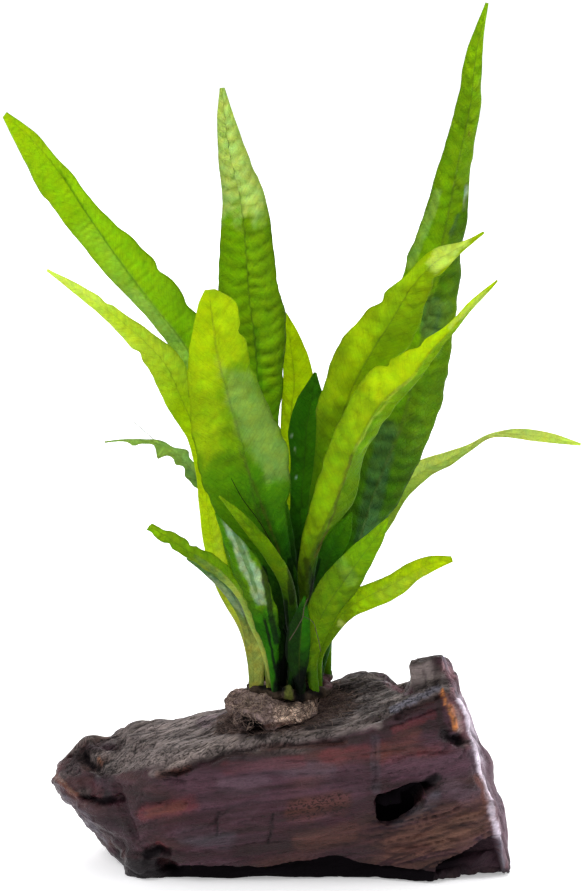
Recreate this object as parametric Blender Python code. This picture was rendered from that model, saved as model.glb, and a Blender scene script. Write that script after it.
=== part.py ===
"""Java fern on driftwood.

A clump of fern leaves rises from a creeping stem, which a felt of roots holds on a loose piece of wood.
Every length below is in millimetres. +X is to the right in the front view, +Y goes to the back and +Z is up.
The origin is at the middle of the whole object, on the surface that the wood rests on.
"""
import math

import bmesh
import bpy
import numpy as np
from mathutils import Vector, noise

MM = 0.001  # metres in a millimetre

# Driving dimensions
GAP = 0.3  # clearance between two pieces that touch
SLACK = 0.15  # more clearance where a piece is cut to the creeping stem or the felt
STATION_STEP = 10.5  # distance between the sections of a leaf
FEWEST_STATIONS = 9
BLADE_THICKNESS = 0.8  # at the midrib
STALK_SHARE = 0.95  # how nearly round a stalk is
STALK_WIDTH = 1.3  # half width up to which a leaf is all stalk
BLADE_WIDTH = 3.0  # half width from which it is all blade
WAVE_LENGTH = 30.0  # of the waves along a blade's rim
WELD = 0.05  # points of a cut edge that lie nearer than this become one
FINE_CELL = 0.6  # faces of the stem and of the rooms cut for pieces
WOOD_CELL = 1.3  # faces of the wood before it is simplified
RHIZOME_RADIUS = 1.7
WOOD_BASE = 0.0  # height of the sawn base

# Sections of the wood from the nose at the left to the end at the right. Each has its x at the top, how far
# it leans out to the right at the base, and ten points (y, z) that go round it: front top edge, top, back
# ridge, back, back foot, base back, base front, front lower edge, belly and front upper face.
WOOD_TOP = 52.0  # height at which a leaning section has its stated x
WOOD_SECTIONS = [
    (-69.5, 0, [(-5, 24), (0, 26), (4, 25), (7, 22), (5, 20), (2, 18), (-3, 18), (-7, 19), (-9, 21),
              (-8, 23)]),
    (-61, 0, [(-13, 28), (-2, 31), (9, 30.5), (15, 26), (13, 16), (7, 12), (-6, 11), (-13, 14), (-18, 18),
              (-16, 24)]),
    (-53, 0, [(-17, 29), (-3, 32), (13, 32.5), (19, 24), (18, 9), (11, 5), (-10, 4), (-18, 7), (-21, 15),
              (-20, 23)]),
    (-48, 0, [(-18, 29), (-3, 36), (15, 38), (21, 24), (21, 5), (16, -3), (-14, -3), (-19, 4),
              (-21, 14), (-20, 23)]),
    (-43, 0, [(-24, 31), (-4, 35), (17, 37), (23, 24), (23, 4), (18, -3), (-17, -3), (-24, 3),
              (-28, 16), (-27, 26)]),
    (-28, 0, [(-25, 36), (-4, 37.5), (18, 40), (25, 25), (24, 4), (19, -3), (-19, -3), (-26, 3),
              (-30, 17), (-28, 29)]),
    (-8, 0, [(-24, 40), (-4, 41), (18, 45), (26, 27), (25, 4), (20, -3), (-20, -3), (-26, 4),
              (-30, 19), (-28, 32)]),
    (10, 0, [(-23, 41), (-4, 43), (18, 50), (26, 28), (25, 4), (20, -3), (-20, -3), (-26, 6), (-29, 20),
              (-27, 33)]),
    (23, 3, [(-23, 45), (-4, 47), (17, 54), (25, 30), (25, 4), (20, -3), (-20, -3), (-26, 4), (-29, 20),
              (-27, 36)]),
    (33, 8, [(-23, 51), (-5, 51), (15, 51), (24, 30), (24, 4), (20, -3), (-19, -3), (-25, 4), (-28, 20),
              (-26, 39)]),
    (40, 15, [(-22, 55), (-6, 54), (13, 50), (21, 30), (23, 4), (19, -3), (-19, -3), (-24, 8),
              (-26, 22), (-24, 40)]),
    (45.3, 16.8, [(-21, 54), (-6, 54), (11, 49), (18, 30), (21, 4), (17, -3), (-18, -3), (-21, 9),
                  (-24, 22), (-22, 40)]),
]
WOOD_BUMPS = [(2.2, 34, 13, 13), (1.5, 20, 6, 6), (0.9, 9, 4, 4)]  # height, then length along x, y and z
LIP_CREASE = 0.75  # how crisp the front top edge stays
END_CREASE = 0.85  # how crisp the rim of the right end stays

# Creeping stem: the centre lines of its branches
RHIZOME_BRANCHES = [
    [(-2, -15.5, 52), (-1, -13, 50.6), (2, -12.5, 50.2), (6, -10.5, 50.2), (9, -7.5, 50.2),
     (9, -3, 50.2), (7, 1, 50.2), (9, 5, 50.3), (9.5, 8.5, 50.8)],
    [(2, -12.5, 50.2), (-1, -10.5, 50.2), (-5, -11.5, 50.2), (-7, -8.5, 50.2), (-11, -7, 50.2),
     (-11.5, -2, 50.2), (-10, 2.5, 50.2), (-6.5, 4, 50.2), (-4, 7, 50.2)],
    [(9, -7.5, 50.2), (5.5, -5, 50.2), (2, -7, 50.2), (-3.5, -6.5, 50.2), (-1, -3, 50.2), (2, -2, 50.2),
     (-3, 1, 50.2), (0.5, 4, 50.2), (3.5, 7, 50.2)],
]

# Leaves. Each has its colour, the fold of its left and right half towards the front, its turn about the
# midrib from foot to tip in degrees, its margin wave in millimetres, and its stations from foot to tip:
# x, y, z of the midrib and the half widths to the left and right of it.
GREEN = (0.13, 0.33, 0.015)
BRIGHT = (0.30, 0.50, 0.01)
YELLOW = (0.42, 0.52, 0.01)
DARK = (0.02, 0.13, 0.008)
LEAVES = {
    "leaf_long_left": (GREEN, (12, 8), (0, 10, 15), 0.5, [
        (-7, 3.5, 50.2, 1.1, 1.1), (-7.5, 5.5, 66, 1.6, 1.6), (-9.5, 8, 84, 2.2, 2.2),
        (-14, 11, 104, 2.8, 2.8), (-20, 14, 123.5, 4.4, 5.2), (-29.5, 17, 146.3, 5, 6),
        (-38, 19.5, 157.8, 5.8, 6.3), (-47, 22, 169.3, 7.4, 4.8), (-57.5, 25, 182.3, 8.4, 2.4),
        (-66.5, 28, 192.8, 7.2, 1.7), (-73.5, 30, 200.8, 4.9, 1.3), (-82, 33, 208.3, 0.8, 0.6)]),
    "leaf_tall_middle": (GREEN, (10, 14), (0, -5, 5), 0.6, [
        (-3, 0.5, 50.2, 1.1, 1.1), (-3.5, 2, 71, 1.7, 1.7), (-5, 3.5, 88, 2.4, 2.4),
        (-7, 5, 105.5, 3, 3), (-8.5, 6.5, 119.5, 3.8, 4.2), (-10, 8, 133.5, 5.4, 6.6),
        (-11, 10, 147.5, 9.2, 9.2), (-12.5, 11.5, 158.5, 9, 9.3), (-13.5, 13, 172.5, 7.5, 8.1),
        (-15, 14.5, 186.5, 5.3, 7.2), (-18, 16, 200.5, 3.4, 4.6), (-19.4, 17.2, 211, 2, 2.4),
        (-20, 18, 217.5, 0.8, 0.7)]),
    "leaf_broad_front": (BRIGHT, (10, 12), (0, 0, -8), 0.6, [
        (2.5, -7, 50.2, 1.1, 1.1), (0, -8, 65, 1.4, 1.4), (-1, -8.5, 71, 2, 2), (-3, -9.5, 81.5, 3, 3),
        (-6.5, -11, 93, 5.4, 4.4), (-11, -13, 106.5, 11.6, 10), (-12.5, -14, 114.5, 13.3, 11.5),
        (-15.5, -15, 127, 12.9, 11.2), (-18, -15.5, 136.5, 11.3, 9), (-21, -15, 148, 8.7, 8.5),
        (-22.2, -13.5, 156, 5.8, 7.4), (-23, -11, 161.5, 3.4, 6.4), (-23.4, -8.5, 164.7, 1.3, 1.8)]),
    "leaf_slim_left": (YELLOW, (10, 10), (0, 0, 10), 0.4, [
        (-11, -1, 50.2, 1.1, 1.1), (-14, 0, 66, 1.5, 1.5), (-20, 1.5, 78.5, 2, 2),
        (-23, 2.5, 90, 2.4, 2.4), (-24.5, 3.5, 101.5, 2.4, 2.9), (-25.5, 5, 111, 2.2, 3.5),
        (-27.5, 6.5, 121, 3, 3.6), (-31.5, 8.5, 130.5, 4.8, 4.6), (-36.2, 11, 140.5, 5, 4.8),
        (-43, 14, 147.2, 4.2, 3.3), (-51.5, 17, 153.8, 2.8, 2.2), (-61, 20, 160, 1.6, 1.4),
        (-70, 23, 165.3, 0.5, 0.4)]),
    "leaf_curled_left": (GREEN, (20, 10), (0, 10, 30), 0.5, [
        (-10.5, 3, 50.2, 1.1, 1.1), (-12.5, 6, 64, 1, 1), (-16.5, 7.5, 77, 0.9, 0.9),
        (-20.5, 8.5, 88.5, 1.1, 1.1), (-24.5, 9.5, 101.5, 1.6, 1.5), (-28.2, 9, 109.2, 2.6, 2.2),
        (-31.5, 8, 113.8, 2.2, 2.2), (-35.5, 6.5, 117.2, 1.6, 1.6), (-40, 5, 119.3, 1.4, 1),
        (-46.5, 3, 120.2, 0.6, 0.6), (-53, 1, 120, 0.4, 0.4)]),
    "leaf_torn_left": (GREEN, (15, 5), (0, 5, 10), 0.4, [
        (-6.5, -9, 50.2, 1.1, 1.1), (-8, -10.5, 63, 1.4, 1.4), (-11, -12, 70.5, 1.5, 1.5),
        (-14, -14, 79, 1.7, 1.7), (-18.5, -17, 86, 2.3, 2.3), (-24.5, -21, 91.3, 2.2, 2.6),
        (-30.5, -25, 95.8, 1.8, 2.6), (-35.5, -28, 100.2, 1.8, 2.2), (-39.5, -30, 103, 1.4, 1.5)]),
    "leaf_under_left": (DARK, (10, 10), (0, 0, 0), 0.4, [
        (-11, -7, 50.2, 1.5, 1.5), (-11.8, -8, 62.5, 1.6, 1.5), (-13.8, -9.5, 72, 1.5, 1.5),
        (-17.8, -12, 80, 1.7, 1.9), (-23.5, -15, 86.8, 1.6, 1.9), (-29.5, -17.5, 91.3, 0.7, 0.7)]),
    "leaf_ribbon_front": (BRIGHT, (5, 25), (0, 10, 0), 0.3, [
        (-1, -10.5, 50.2, 1.1, 1.1), (0.5, -11, 61.5, 1.6, 1.6), (-0.5, -12, 72, 1.9, 1.9),
        (-2, -13.5, 82.5, 2, 2), (-6, -16, 91.5, 2.3, 2.3), (-10.5, -18.5, 98, 2, 2),
        (-15.5, -21, 104.5, 1.4, 1.4), (-20.5, -23, 110, 0.3, 0.3)]),
    "leaf_glossy_left": (DARK, (5, 20), (0, 5, 5), 0.3, [
        (-5, -11.5, 50.2, 1.1, 1.1), (-6.5, -13, 65, 1.8, 1.8), (-8.5, -15, 74, 2.5, 2.5),
        (-10.5, -17, 82.5, 3.1, 3.1), (-14, -19.5, 91, 3.1, 2.9), (-18, -22, 98.5, 1.8, 1.8),
        (-21.5, -24, 105.5, 0.3, 0.3)]),
    "leaf_dark_middle": (DARK, (10, 10), (0, 0, 5), 0.4, [
        (-1, -3, 50.2, 1.1, 1.1), (-0.3, -0.6, 63, 1.2, 1.2), (0.6, 1.1, 76, 2, 2),
        (1.4, 1.4, 90.5, 3, 3), (2, 1, 103.5, 3.2, 3.4), (3, 1, 115, 4, 4), (3.5, 1.5, 123.5, 5.1, 5.1),
        (5, 2, 132, 4, 3.5), (6, 3, 139.5, 0.4, 0.4)]),
    "leaf_yellow_back": (YELLOW, (5, 10), (0, 0, -5), 0.4, [
        (0.5, 4, 50.2, 1.1, 1.1), (1, 4.5, 73.5, 2, 2), (1, 5, 88, 2.2, 2.2),
        (0.5, 5.5, 102.5, 2.5, 2.5), (-1, 6.5, 113.5, 2.4, 2.9), (-1, 8, 125, 2.9, 4.1),
        (0, 10, 136, 3.2, 5.5), (-1, 12, 145.5, 2.1, 3.8), (-2.5, 14, 154.5, 0.4, 0.4)]),
    "leaf_broad_right": (BRIGHT, (10, 10), (0, -5, -15), 0.6, [
        (2, -2, 50.2, 1.1, 1.1), (3.4, -2.2, 75, 1.6, 1.6), (4.5, -2.5, 89.5, 2.4, 2.4),
        (7.5, -3.5, 107, 3, 3.4), (11.5, -5, 122, 5.8, 6.2), (15.2, -7, 135, 8.7, 7.9),
        (20.7, -9, 146.5, 9.3, 8.5), (27, -11, 157.5, 7.1, 8), (33, -12.5, 167.5, 4.5, 5.1),
        (40, -13.5, 174.5, 3.1, 3.4), (46, -14, 178, 1.2, 1.4), (51.8, -14, 181.6, 0.5, 0.4)]),
    "leaf_folded_front": (BRIGHT, (-20, -40), (0, 0, -10), 0.5, [
        (5.5, -5, 50.2, 1.2, 1.2), (4, -5.5, 64, 1.6, 1.6), (3.5, -7, 76.5, 2.2, 1.9),
        (4, -9, 87, 3.2, 2), (6.5, -11, 94.5, 5, 2.8), (10, -13, 102.5, 6.4, 5.3),
        (13.5, -15, 111, 7.8, 5.5), (16, -17, 120, 7.3, 5.5), (19.5, -19, 128, 7.5, 5.8),
        (24, -20.5, 135.5, 8.3, 4.8), (32, -22, 143, 7.4, 3), (37.5, -22.5, 150.5, 3.8, 2.2),
        (43, -22.5, 156.5, 1.7, 1.7), (49, -22, 163.2, 1.4, 1.2), (55.3, -21, 169.4, 0.4, 0.4)]),
    "leaf_tall_right": (GREEN, (8, -25), (0, 5, 0), 0.7, [
        (6.5, 1, 50.2, 1.1, 1.1), (11.5, 4, 70.5, 2.2, 2.2), (16.5, 5, 85, 4, 4), (21, 7, 99, 6.5, 7.2),
        (25.5, 9, 111.5, 8, 9.2), (30.5, 11, 124, 9.2, 10.4), (34, 13, 138, 9.2, 10),
        (37, 15, 152, 9.6, 9), (40, 17, 166, 8.8, 7.8), (43, 19, 180, 6.8, 6),
        (45.3, 21, 195.5, 5.3, 4.6), (48.3, 22.5, 210.5, 3.8, 3.3), (51.2, 24, 227.5, 2.6, 1.9),
        (54.1, 25, 240.5, 0.6, 0.4)]),
    "leaf_twisted_right": (GREEN, (10, 10), (0, 0, 20, 60, 0), 0.4, [
        (9.5, 5, 50.2, 1.1, 1.1), (10.5, 8, 66.5, 1.2, 1.2), (17.5, 12, 83, 2.2, 2.2),
        (24.5, 15, 94.3, 3.6, 3.6), (31, 18, 103.2, 3.8, 3.4), (38, 21, 107.6, 3.5, 2.9),
        (44.5, 24, 109.8, 2.7, 2.4), (51, 26, 113.2, 1.3, 1.3), (57, 28, 116, 1, 1),
        (65, 30, 116, 1.8, 1.7), (74.5, 32, 114.5, 1.5, 1.5), (83, 33, 112.5, 0.4, 0.4)]),
    "leaf_blunt_right": (YELLOW, (10, 10), (0, 0, 0), 0.3, [
        (9.5, -8, 50.2, 1.2, 1.2), (8.5, -9.5, 61, 1.4, 1.4), (10.5, -11.5, 68, 1.9, 1.9),
        (14, -13.5, 74.8, 2.8, 2.8), (19.5, -17, 79.6, 3.5, 3.4), (26.5, -22, 84.4, 3.4, 3.2),
        (34.5, -28, 90.9, 2.8, 2.6), (39, -32, 93.6, 2.2, 1.9), (43, -35, 95.2, 0.9, 0.9)]),
    "leaf_upright_right": (GREEN, (8, 8), (0, 0, 5), 0.4, [
        (6, -10.5, 50.2, 1.2, 1.2), (4.5, -12.5, 60.5, 2.2, 2.2), (6, -15.5, 70, 3.6, 3.6),
        (9.5, -19, 78.5, 5, 4.1), (14, -22, 86, 5.3, 4.6), (18.5, -26, 93.5, 3.9, 3.4),
        (23, -30, 101, 2, 2), (25.5, -33, 106, 0.3, 0.3)]),
    "leaf_small_front": (DARK, (5, 5), (0, 0, 0), 0.3, [
        (2, -12.5, 50.2, 1.2, 1.2), (1.5, -14.5, 56.5, 1.8, 1.8), (1.5, -16, 62.5, 3.8, 2.8),
        (2, -18.5, 70, 4, 2.6), (2.5, -21, 76.5, 2, 1.6), (3, -22.5, 81.5, 0.3, 0.3)]),
    "leaf_dark_right": (DARK, (10, 10), (0, 0, 0), 0.3, [
        (9, -3, 50.2, 1.1, 1.1), (7, -3.5, 64, 1.5, 1.5), (7, -4, 73, 1.9, 1.9), (8.5, -5, 83, 2.6, 2.6),
        (10.5, -6, 90.5, 3.2, 3.2), (13.5, -7.5, 96.5, 2.7, 2.7), (16, -9, 102, 0.3, 0.3)]),
    "leaf_dark_left": (DARK, (10, 10), (0, 0, 0), 0.4, [
        (-3.5, -6.5, 50.2, 1.1, 1.1), (-3, -5.5, 62, 2, 2), (-3, -5, 76, 3, 3), (-3.8, -5, 87.5, 4, 4),
        (-5.5, -5.5, 96, 4.8, 4.8), (-7.5, -6, 108, 4.3, 4.3), (-8.5, -7, 122.5, 2.3, 2.3),
        (-9.5, -8, 131, 0.3, 0.3)]),
    "leaf_back_left": (GREEN, (-12, -12), (0, 0, 0), 0.6, [
        (-4, 7, 50.2, 1.1, 1.1), (-4.5, 10, 62, 3, 3), (-6, 14, 76, 5, 5), (-8, 18, 90, 6, 6),
        (-10.5, 22, 104.5, 6.9, 6.9), (-12.5, 27, 121, 6.9, 6.9), (-14.5, 31, 135, 4.6, 4.6),
        (-15.5, 35, 147, 0.4, 0.4)]),
    "leaf_back_right": (GREEN, (-12, -12), (0, 0, 0), 0.6, [
        (3.5, 7, 50.2, 1.1, 1.1), (5, 10.5, 62, 3, 3), (8.5, 14.5, 76, 4.6, 4.6),
        (13, 18, 90.5, 5.6, 5.6), (19, 23, 107, 6.9, 6.9), (23.5, 28, 120.5, 6.9, 6.9),
        (26, 32, 131.5, 4.6, 4.6), (28.5, 36, 141, 0.4, 0.4)]),
}


def clear_scene():
    for old in list(bpy.data.objects):
        bpy.data.objects.remove(old, do_unlink=True)


def material(name, colour, roughness):
    finish = bpy.data.materials.new(name)
    finish.use_nodes = True
    shader = finish.node_tree.nodes["Principled BSDF"]
    shader.inputs["Base Color"].default_value = (*colour, 1)
    shader.inputs["Roughness"].default_value = roughness
    shader.inputs["Metallic"].default_value = 0
    return finish


def add_object(name, points, faces, finish=None):
    """Make an object from points in millimetres."""
    mesh = bpy.data.meshes.new(name)
    mesh.from_pydata([Vector(point) * MM for point in points], [], faces)
    mesh.validate()
    made = bpy.data.objects.new(name, mesh)
    bpy.context.scene.collection.objects.link(made)
    if finish:
        mesh.materials.append(finish)
    mesh.shade_smooth()
    return made


def bake(made):
    """Turn an object's modifiers into its mesh."""
    graph = bpy.context.evaluated_depsgraph_get()
    mesh = bpy.data.meshes.new_from_object(made.evaluated_get(graph))
    made.modifiers.clear()
    made.data = mesh


def face_outwards(made):
    shape = bmesh.new()
    shape.from_mesh(made.data)
    bmesh.ops.recalc_face_normals(shape, faces=shape.faces)
    if shape.calc_volume(signed=True) < 0:
        bmesh.ops.reverse_faces(shape, faces=shape.faces)
    shape.to_mesh(made.data)
    shape.free()


def weld(made):
    """Join the nearly touching points that a cut leaves."""
    shape = bmesh.new()
    shape.from_mesh(made.data)
    bmesh.ops.triangulate(shape, faces=shape.faces)
    bmesh.ops.remove_doubles(shape, verts=shape.verts, dist=WELD * MM)
    bmesh.ops.dissolve_degenerate(shape, edges=shape.edges, dist=WELD * MM)
    bmesh.ops.triangulate(shape, faces=shape.faces)
    shape.to_mesh(made.data)
    shape.free()


def grown(made, by, faces_wanted):
    """A copy of an object, larger by a given distance all over, to cut the room for it."""
    copy = bpy.data.objects.new(made.name + "_grown", made.data.copy())
    bpy.context.scene.collection.objects.link(copy)
    for vertex in copy.data.vertices:
        vertex.co += vertex.normal * by * MM
    skin(copy, FINE_CELL)
    simplify(copy, faces_wanted)
    return copy


def combine(made, other, operation):
    """Cut an object with another, or join the other to it."""
    boolean = made.modifiers.new(operation.lower(), "BOOLEAN")
    boolean.operation = operation
    boolean.solver = "EXACT"
    boolean.object = other
    bake(made)


def use_up(made, other, operation):
    """Combine two objects of which only the first is kept."""
    combine(made, other, operation)
    bpy.data.objects.remove(other, do_unlink=True)


def roughen(made, bumps):
    """Move the points of a mesh along their normals by sums of smooth noise.

    Each bump is its height and its length along x, y and z, all in millimetres.
    """
    for vertex in made.data.vertices:
        place = vertex.co / MM
        shift = 0.0
        for number, (height, *lengths) in enumerate(bumps):
            cell = Vector(place[axis] / lengths[axis] + 7.3 * number for axis in range(3))
            shift += height * noise.noise(cell)
        vertex.co += vertex.normal * shift * MM


def simplify(made, faces_wanted):
    thinner = made.modifiers.new("simplify", "DECIMATE")
    made.data.calc_loop_triangles()
    thinner.ratio = min(1.0, faces_wanted / len(made.data.loop_triangles))
    thinner.use_collapse_triangulate = True
    bake(made)


def skin(made, cell):
    """Wrap a mesh in one even skin of small faces."""
    wrap = made.modifiers.new("skin", "REMESH")
    wrap.mode = "VOXEL"
    wrap.voxel_size = cell * MM
    bake(made)


def ball(name, middle, radii, turn=(0, 0, 0), detail=3):
    """A stretched and turned sphere."""
    shape = bmesh.new()
    bmesh.ops.create_icosphere(shape, subdivisions=detail, radius=1)
    mesh = bpy.data.meshes.new(name)
    shape.to_mesh(mesh)
    shape.free()
    made = bpy.data.objects.new(name, mesh)
    bpy.context.scene.collection.objects.link(made)
    made.scale = [radius * MM for radius in radii]
    made.rotation_euler = [math.radians(angle) for angle in turn]
    made.location = Vector(middle) * MM
    bpy.context.view_layer.update()
    mesh.transform(made.matrix_world)
    made.scale = (1, 1, 1)
    made.rotation_euler = (0, 0, 0)
    made.location = (0, 0, 0)
    return made


def block(name, corners):
    """A six-sided block from its four lower and four upper corners, both anticlockwise from above."""
    faces = [(3, 2, 1, 0), (4, 5, 6, 7), (0, 1, 5, 4), (1, 2, 6, 5), (2, 3, 7, 6), (3, 0, 4, 7)]
    made = add_object(name, corners, faces)
    face_outwards(made)
    return made


def wood_body():
    """The wood's main form: a skin over its sections, made smooth and then roughened."""
    count = len(WOOD_SECTIONS[0][2])
    points = []
    for x_top, lean, outline in WOOD_SECTIONS:
        for y, z in outline:
            points.append((x_top + lean * (WOOD_TOP - z) / WOOD_TOP, y, z))
    faces = []
    for section in range(len(WOOD_SECTIONS) - 1):
        start = section * count
        for k in range(count):
            after = (k + 1) % count
            faces.append((start + k, start + after, start + count + after, start + count + k))
    faces.append(tuple(range(count)))
    last = (len(WOOD_SECTIONS) - 1) * count
    faces.append(tuple(last + k for k in reversed(range(count))))
    wood = add_object("driftwood", points, faces)
    face_outwards(wood)
    crease = wood.data.attributes.new("crease_edge", "FLOAT", "EDGE")
    for edge in wood.data.edges:
        a, b = edge.vertices
        on_lip = a % count == 0 and b % count == 0 and min(a, b) >= count
        on_end = a >= last and b >= last
        crease.data[edge.index].value = LIP_CREASE if on_lip else END_CREASE if on_end else 0.0
    smooth = wood.modifiers.new("round", "SUBSURF")
    smooth.levels = 2
    smooth.render_levels = 2
    bake(wood)
    roughen(wood, WOOD_BUMPS)
    return wood


def driftwood():
    wood = wood_body()
    fin = block("fin", [(33, -13, 44), (47, -13, 44), (48.5, 10, 44), (36, 7, 44),
                        (32, -12, 60), (41.5, -12.5, 62.5), (44.5, 10, 53), (34, 6, 56.5)])
    use_up(wood, fin, "UNION")
    foot = ball("foot", (-41, -17, 4), (8, 8, 7.5))
    use_up(wood, foot, "UNION")
    chunk = ball("chunk", (54, 3, 7), (7, 12, 13), (0, -14, 0))
    use_up(wood, chunk, "UNION")
    for name, middle, radii, turn in [
            ("knot_wide", (28, -28, 20), (4.6, 9, 2.8), (0, -18, 0)),
            ("knot_tail", (33, -28, 22.5), (6.5, 6, 2), (0, -28, 0)),
            ("foot_hollow", (-35.5, -26, 4.5), (3.8, 7, 2.8), (0, 10, 0)),
            ("nose_pit", (-60, -17, 26.5), (4.2, 4, 4), (0, 20, 0)),
            ("end_pit", (47, -24, 41), (3.2, 5, 2.4), (0, 15, 0))]:
        hollow = ball(name, middle, radii, turn)
        use_up(wood, hollow, "DIFFERENCE")
    notch = block("notch", [(27.5, 4, 46.5), (33, 4, 46.5), (35, 30, 43), (31, 30, 43),
                            (22.5, 4, 62), (33, 4, 62), (35, 30, 62), (26, 30, 62)])
    use_up(wood, notch, "DIFFERENCE")
    skin(wood, WOOD_CELL)
    simplify(wood, 3000)
    under = block("under", [(-90, -60, -30), (90, -60, -30), (90, 60, -30), (-90, 60, -30),
                            (-90, -60, WOOD_BASE), (90, -60, WOOD_BASE), (90, 60, WOOD_BASE), (-90, 60, WOOD_BASE)])
    use_up(wood, under, "DIFFERENCE")
    finish = material("driftwood", (0.09, 0.035, 0.03), 0.5)
    wood.data.materials.clear()
    wood.data.materials.append(finish)
    return wood


def tube(points, radius):
    """A round bar with rounded tips along points in millimetres."""
    curve = bpy.data.curves.new("tube", "CURVE")
    curve.dimensions = "3D"
    curve.bevel_depth = radius * MM
    curve.bevel_resolution = 2
    curve.use_fill_caps = True
    spline = curve.splines.new("BEZIER")
    spline.bezier_points.add(len(points) - 1)
    for knot, point in zip(spline.bezier_points, points):
        knot.co = Vector(point) * MM
        knot.handle_left_type = "AUTO"
        knot.handle_right_type = "AUTO"
    spline.resolution_u = 6
    made = bpy.data.objects.new("tube", curve)
    bpy.context.scene.collection.objects.link(made)
    bpy.context.view_layer.update()
    graph = bpy.context.evaluated_depsgraph_get()
    mesh = bpy.data.meshes.new_from_object(made.evaluated_get(graph))
    bpy.data.objects.remove(made, do_unlink=True)
    return mesh


def rhizome():
    """The creeping stem: its branches run into each other, so they are skinned together."""
    shape = bmesh.new()
    for branch in RHIZOME_BRANCHES:
        shape.from_mesh(tube(branch, RHIZOME_RADIUS))
        for tip in (branch[0], branch[-1]):
            knob = bmesh.ops.create_icosphere(shape, subdivisions=2, radius=1.15 * RHIZOME_RADIUS * MM)
            bmesh.ops.translate(shape, verts=knob["verts"], vec=Vector(tip) * MM)
    mesh = bpy.data.meshes.new("rhizome")
    shape.to_mesh(mesh)
    shape.free()
    stem = bpy.data.objects.new("rhizome", mesh)
    bpy.context.scene.collection.objects.link(stem)
    skin(stem, FINE_CELL)
    roughen(stem, [(0.7, 3, 3, 3)])
    simplify(stem, 900)
    stem.data.materials.append(material("rhizome", (0.12, 0.08, 0.03), 0.7))
    stem.data.shade_smooth()
    return stem


def root_mat(wood, stem):
    """The felt of roots: a flat lump on the wood, with room for the creeping stem in its top."""
    mat = ball("root_mat", (-6, -2.5, 43.2), (14, 15, 7), detail=4)
    roughen(mat, [(2.4, 9, 9, 9), (1.2, 4, 4, 4)])
    simplify(mat, 700)
    use_up(mat, grown(wood, GAP, 4000), "DIFFERENCE")
    use_up(mat, grown(stem, GAP + SLACK, 900), "DIFFERENCE")
    weld(mat)
    mat.data.materials.append(material("root_mat", (0.16, 0.10, 0.06), 0.9))
    mat.data.shade_smooth()
    return mat


def along(rows, count):
    """Stations evenly spaced on a smooth curve through the rows of a leaf."""
    rows = np.array(rows, float)
    steps = np.linalg.norm(np.diff(rows[:, :3], axis=0), axis=1)
    length = np.concatenate([[0.0], np.cumsum(steps)])
    slopes = np.gradient(rows, length, axis=0)
    stations = []
    for s in np.linspace(0.0, length[-1], count):
        k = min(int(np.searchsorted(length, s, side="right")) - 1, len(rows) - 2)
        h = length[k + 1] - length[k]
        t = (s - length[k]) / h
        stations.append((2 * t**3 - 3 * t**2 + 1) * rows[k] + (t**3 - 2 * t**2 + t) * h * slopes[k]
                        + (3 * t**2 - 2 * t**3) * rows[k + 1] + (t**3 - t**2) * h * slopes[k + 1])
    return np.array(stations)


def leaf_axes(direction, turn):
    """The directions across a leaf and out of its front, turned about its midrib."""
    front = Vector((0, -1, 0))
    front = (front - front.dot(direction) * direction).normalized()
    across = direction.cross(front).normalized()
    angle = math.radians(turn)
    return (math.cos(angle) * across + math.sin(angle) * front,
            math.cos(angle) * front - math.sin(angle) * across)


def blade_share(share, left, right):
    """How far a section has turned from round stalk to thin blade; the tip is all blade."""
    if share > 0.6:
        return 1.0
    return min(1.0, max(0.0, (max(left, right) - STALK_WIDTH) / (BLADE_WIDTH - STALK_WIDTH)))


def leaf_section(station, direction, turn, folds, lifts, blade):
    """Eight points round a leaf: left rim, upper side, right rim and under side."""
    x, y, z, left, right = station
    across, front = leaf_axes(direction, turn)
    middle = Vector((x, y, z))
    thick = (1 - blade) * STALK_SHARE * min(left, right) + blade * min(BLADE_THICKNESS / 2, 0.6 * right)
    reach = 0.7 - 0.2 * blade
    halves = []
    for side, width, fold, lift in zip((-1, 1), (left, right), folds, lifts):
        angle = math.radians(fold) * blade
        outward = math.cos(angle) * across * side + math.sin(angle) * front
        raised = front * lift * blade * min(1.0, width / 4)
        rim = middle + outward * width + raised
        half = middle + outward * width * reach + raised * 0.3
        halves.append((rim, half + front * thick * 0.72, half - front * thick * 0.72))
    (left_rim, left_top, left_under), (right_rim, right_top, right_under) = halves
    return [left_rim, left_top, middle + front * thick, right_top,
            right_rim, right_under, middle - front * thick, left_under]


def leaf(name, colour, folds, turns, wave, rows):
    """A leaf: its stalk is round, and its blade is a thin lens that folds at the midrib and waves at the rim."""
    length = sum(math.dist(a[:3], b[:3]) for a, b in zip(rows, rows[1:]))
    count = max(FEWEST_STATIONS, round(length / STATION_STEP))
    stations = along(rows, count)
    phase = len(name)
    points = []
    for k, station in enumerate(stations):
        before = Vector(stations[max(k - 1, 0), :3])
        after = Vector(stations[min(k + 1, count - 1), :3])
        share = k / (count - 1)
        turn = np.interp(share, np.linspace(0, 1, len(turns)), turns)
        beat = 2 * math.pi * share * length / WAVE_LENGTH + phase
        lifts = (wave * math.sin(beat), wave * math.sin(beat + 2))
        blade = blade_share(share, station[3], station[4])
        points += leaf_section(station, (after - before).normalized(), turn, folds, lifts, blade)
    around = len(points) // count
    faces = []
    for k in range(count - 1):
        for j in range(around):
            a, b = k * around + j, k * around + (j + 1) % around
            if j < around // 2:  # the upper and the under side are split along the same diagonals
                faces += [(a, b, b + around), (a, b + around, a + around)]
            else:
                faces += [(a, b, a + around), (b, b + around, a + around)]
    last = (count - 1) * around
    faces.append(tuple(reversed(range(around))))
    faces.append(tuple(range(last, last + around)))
    made = add_object(name, points, faces, material(name, colour, 0.35))
    face_outwards(made)
    return made


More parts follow.
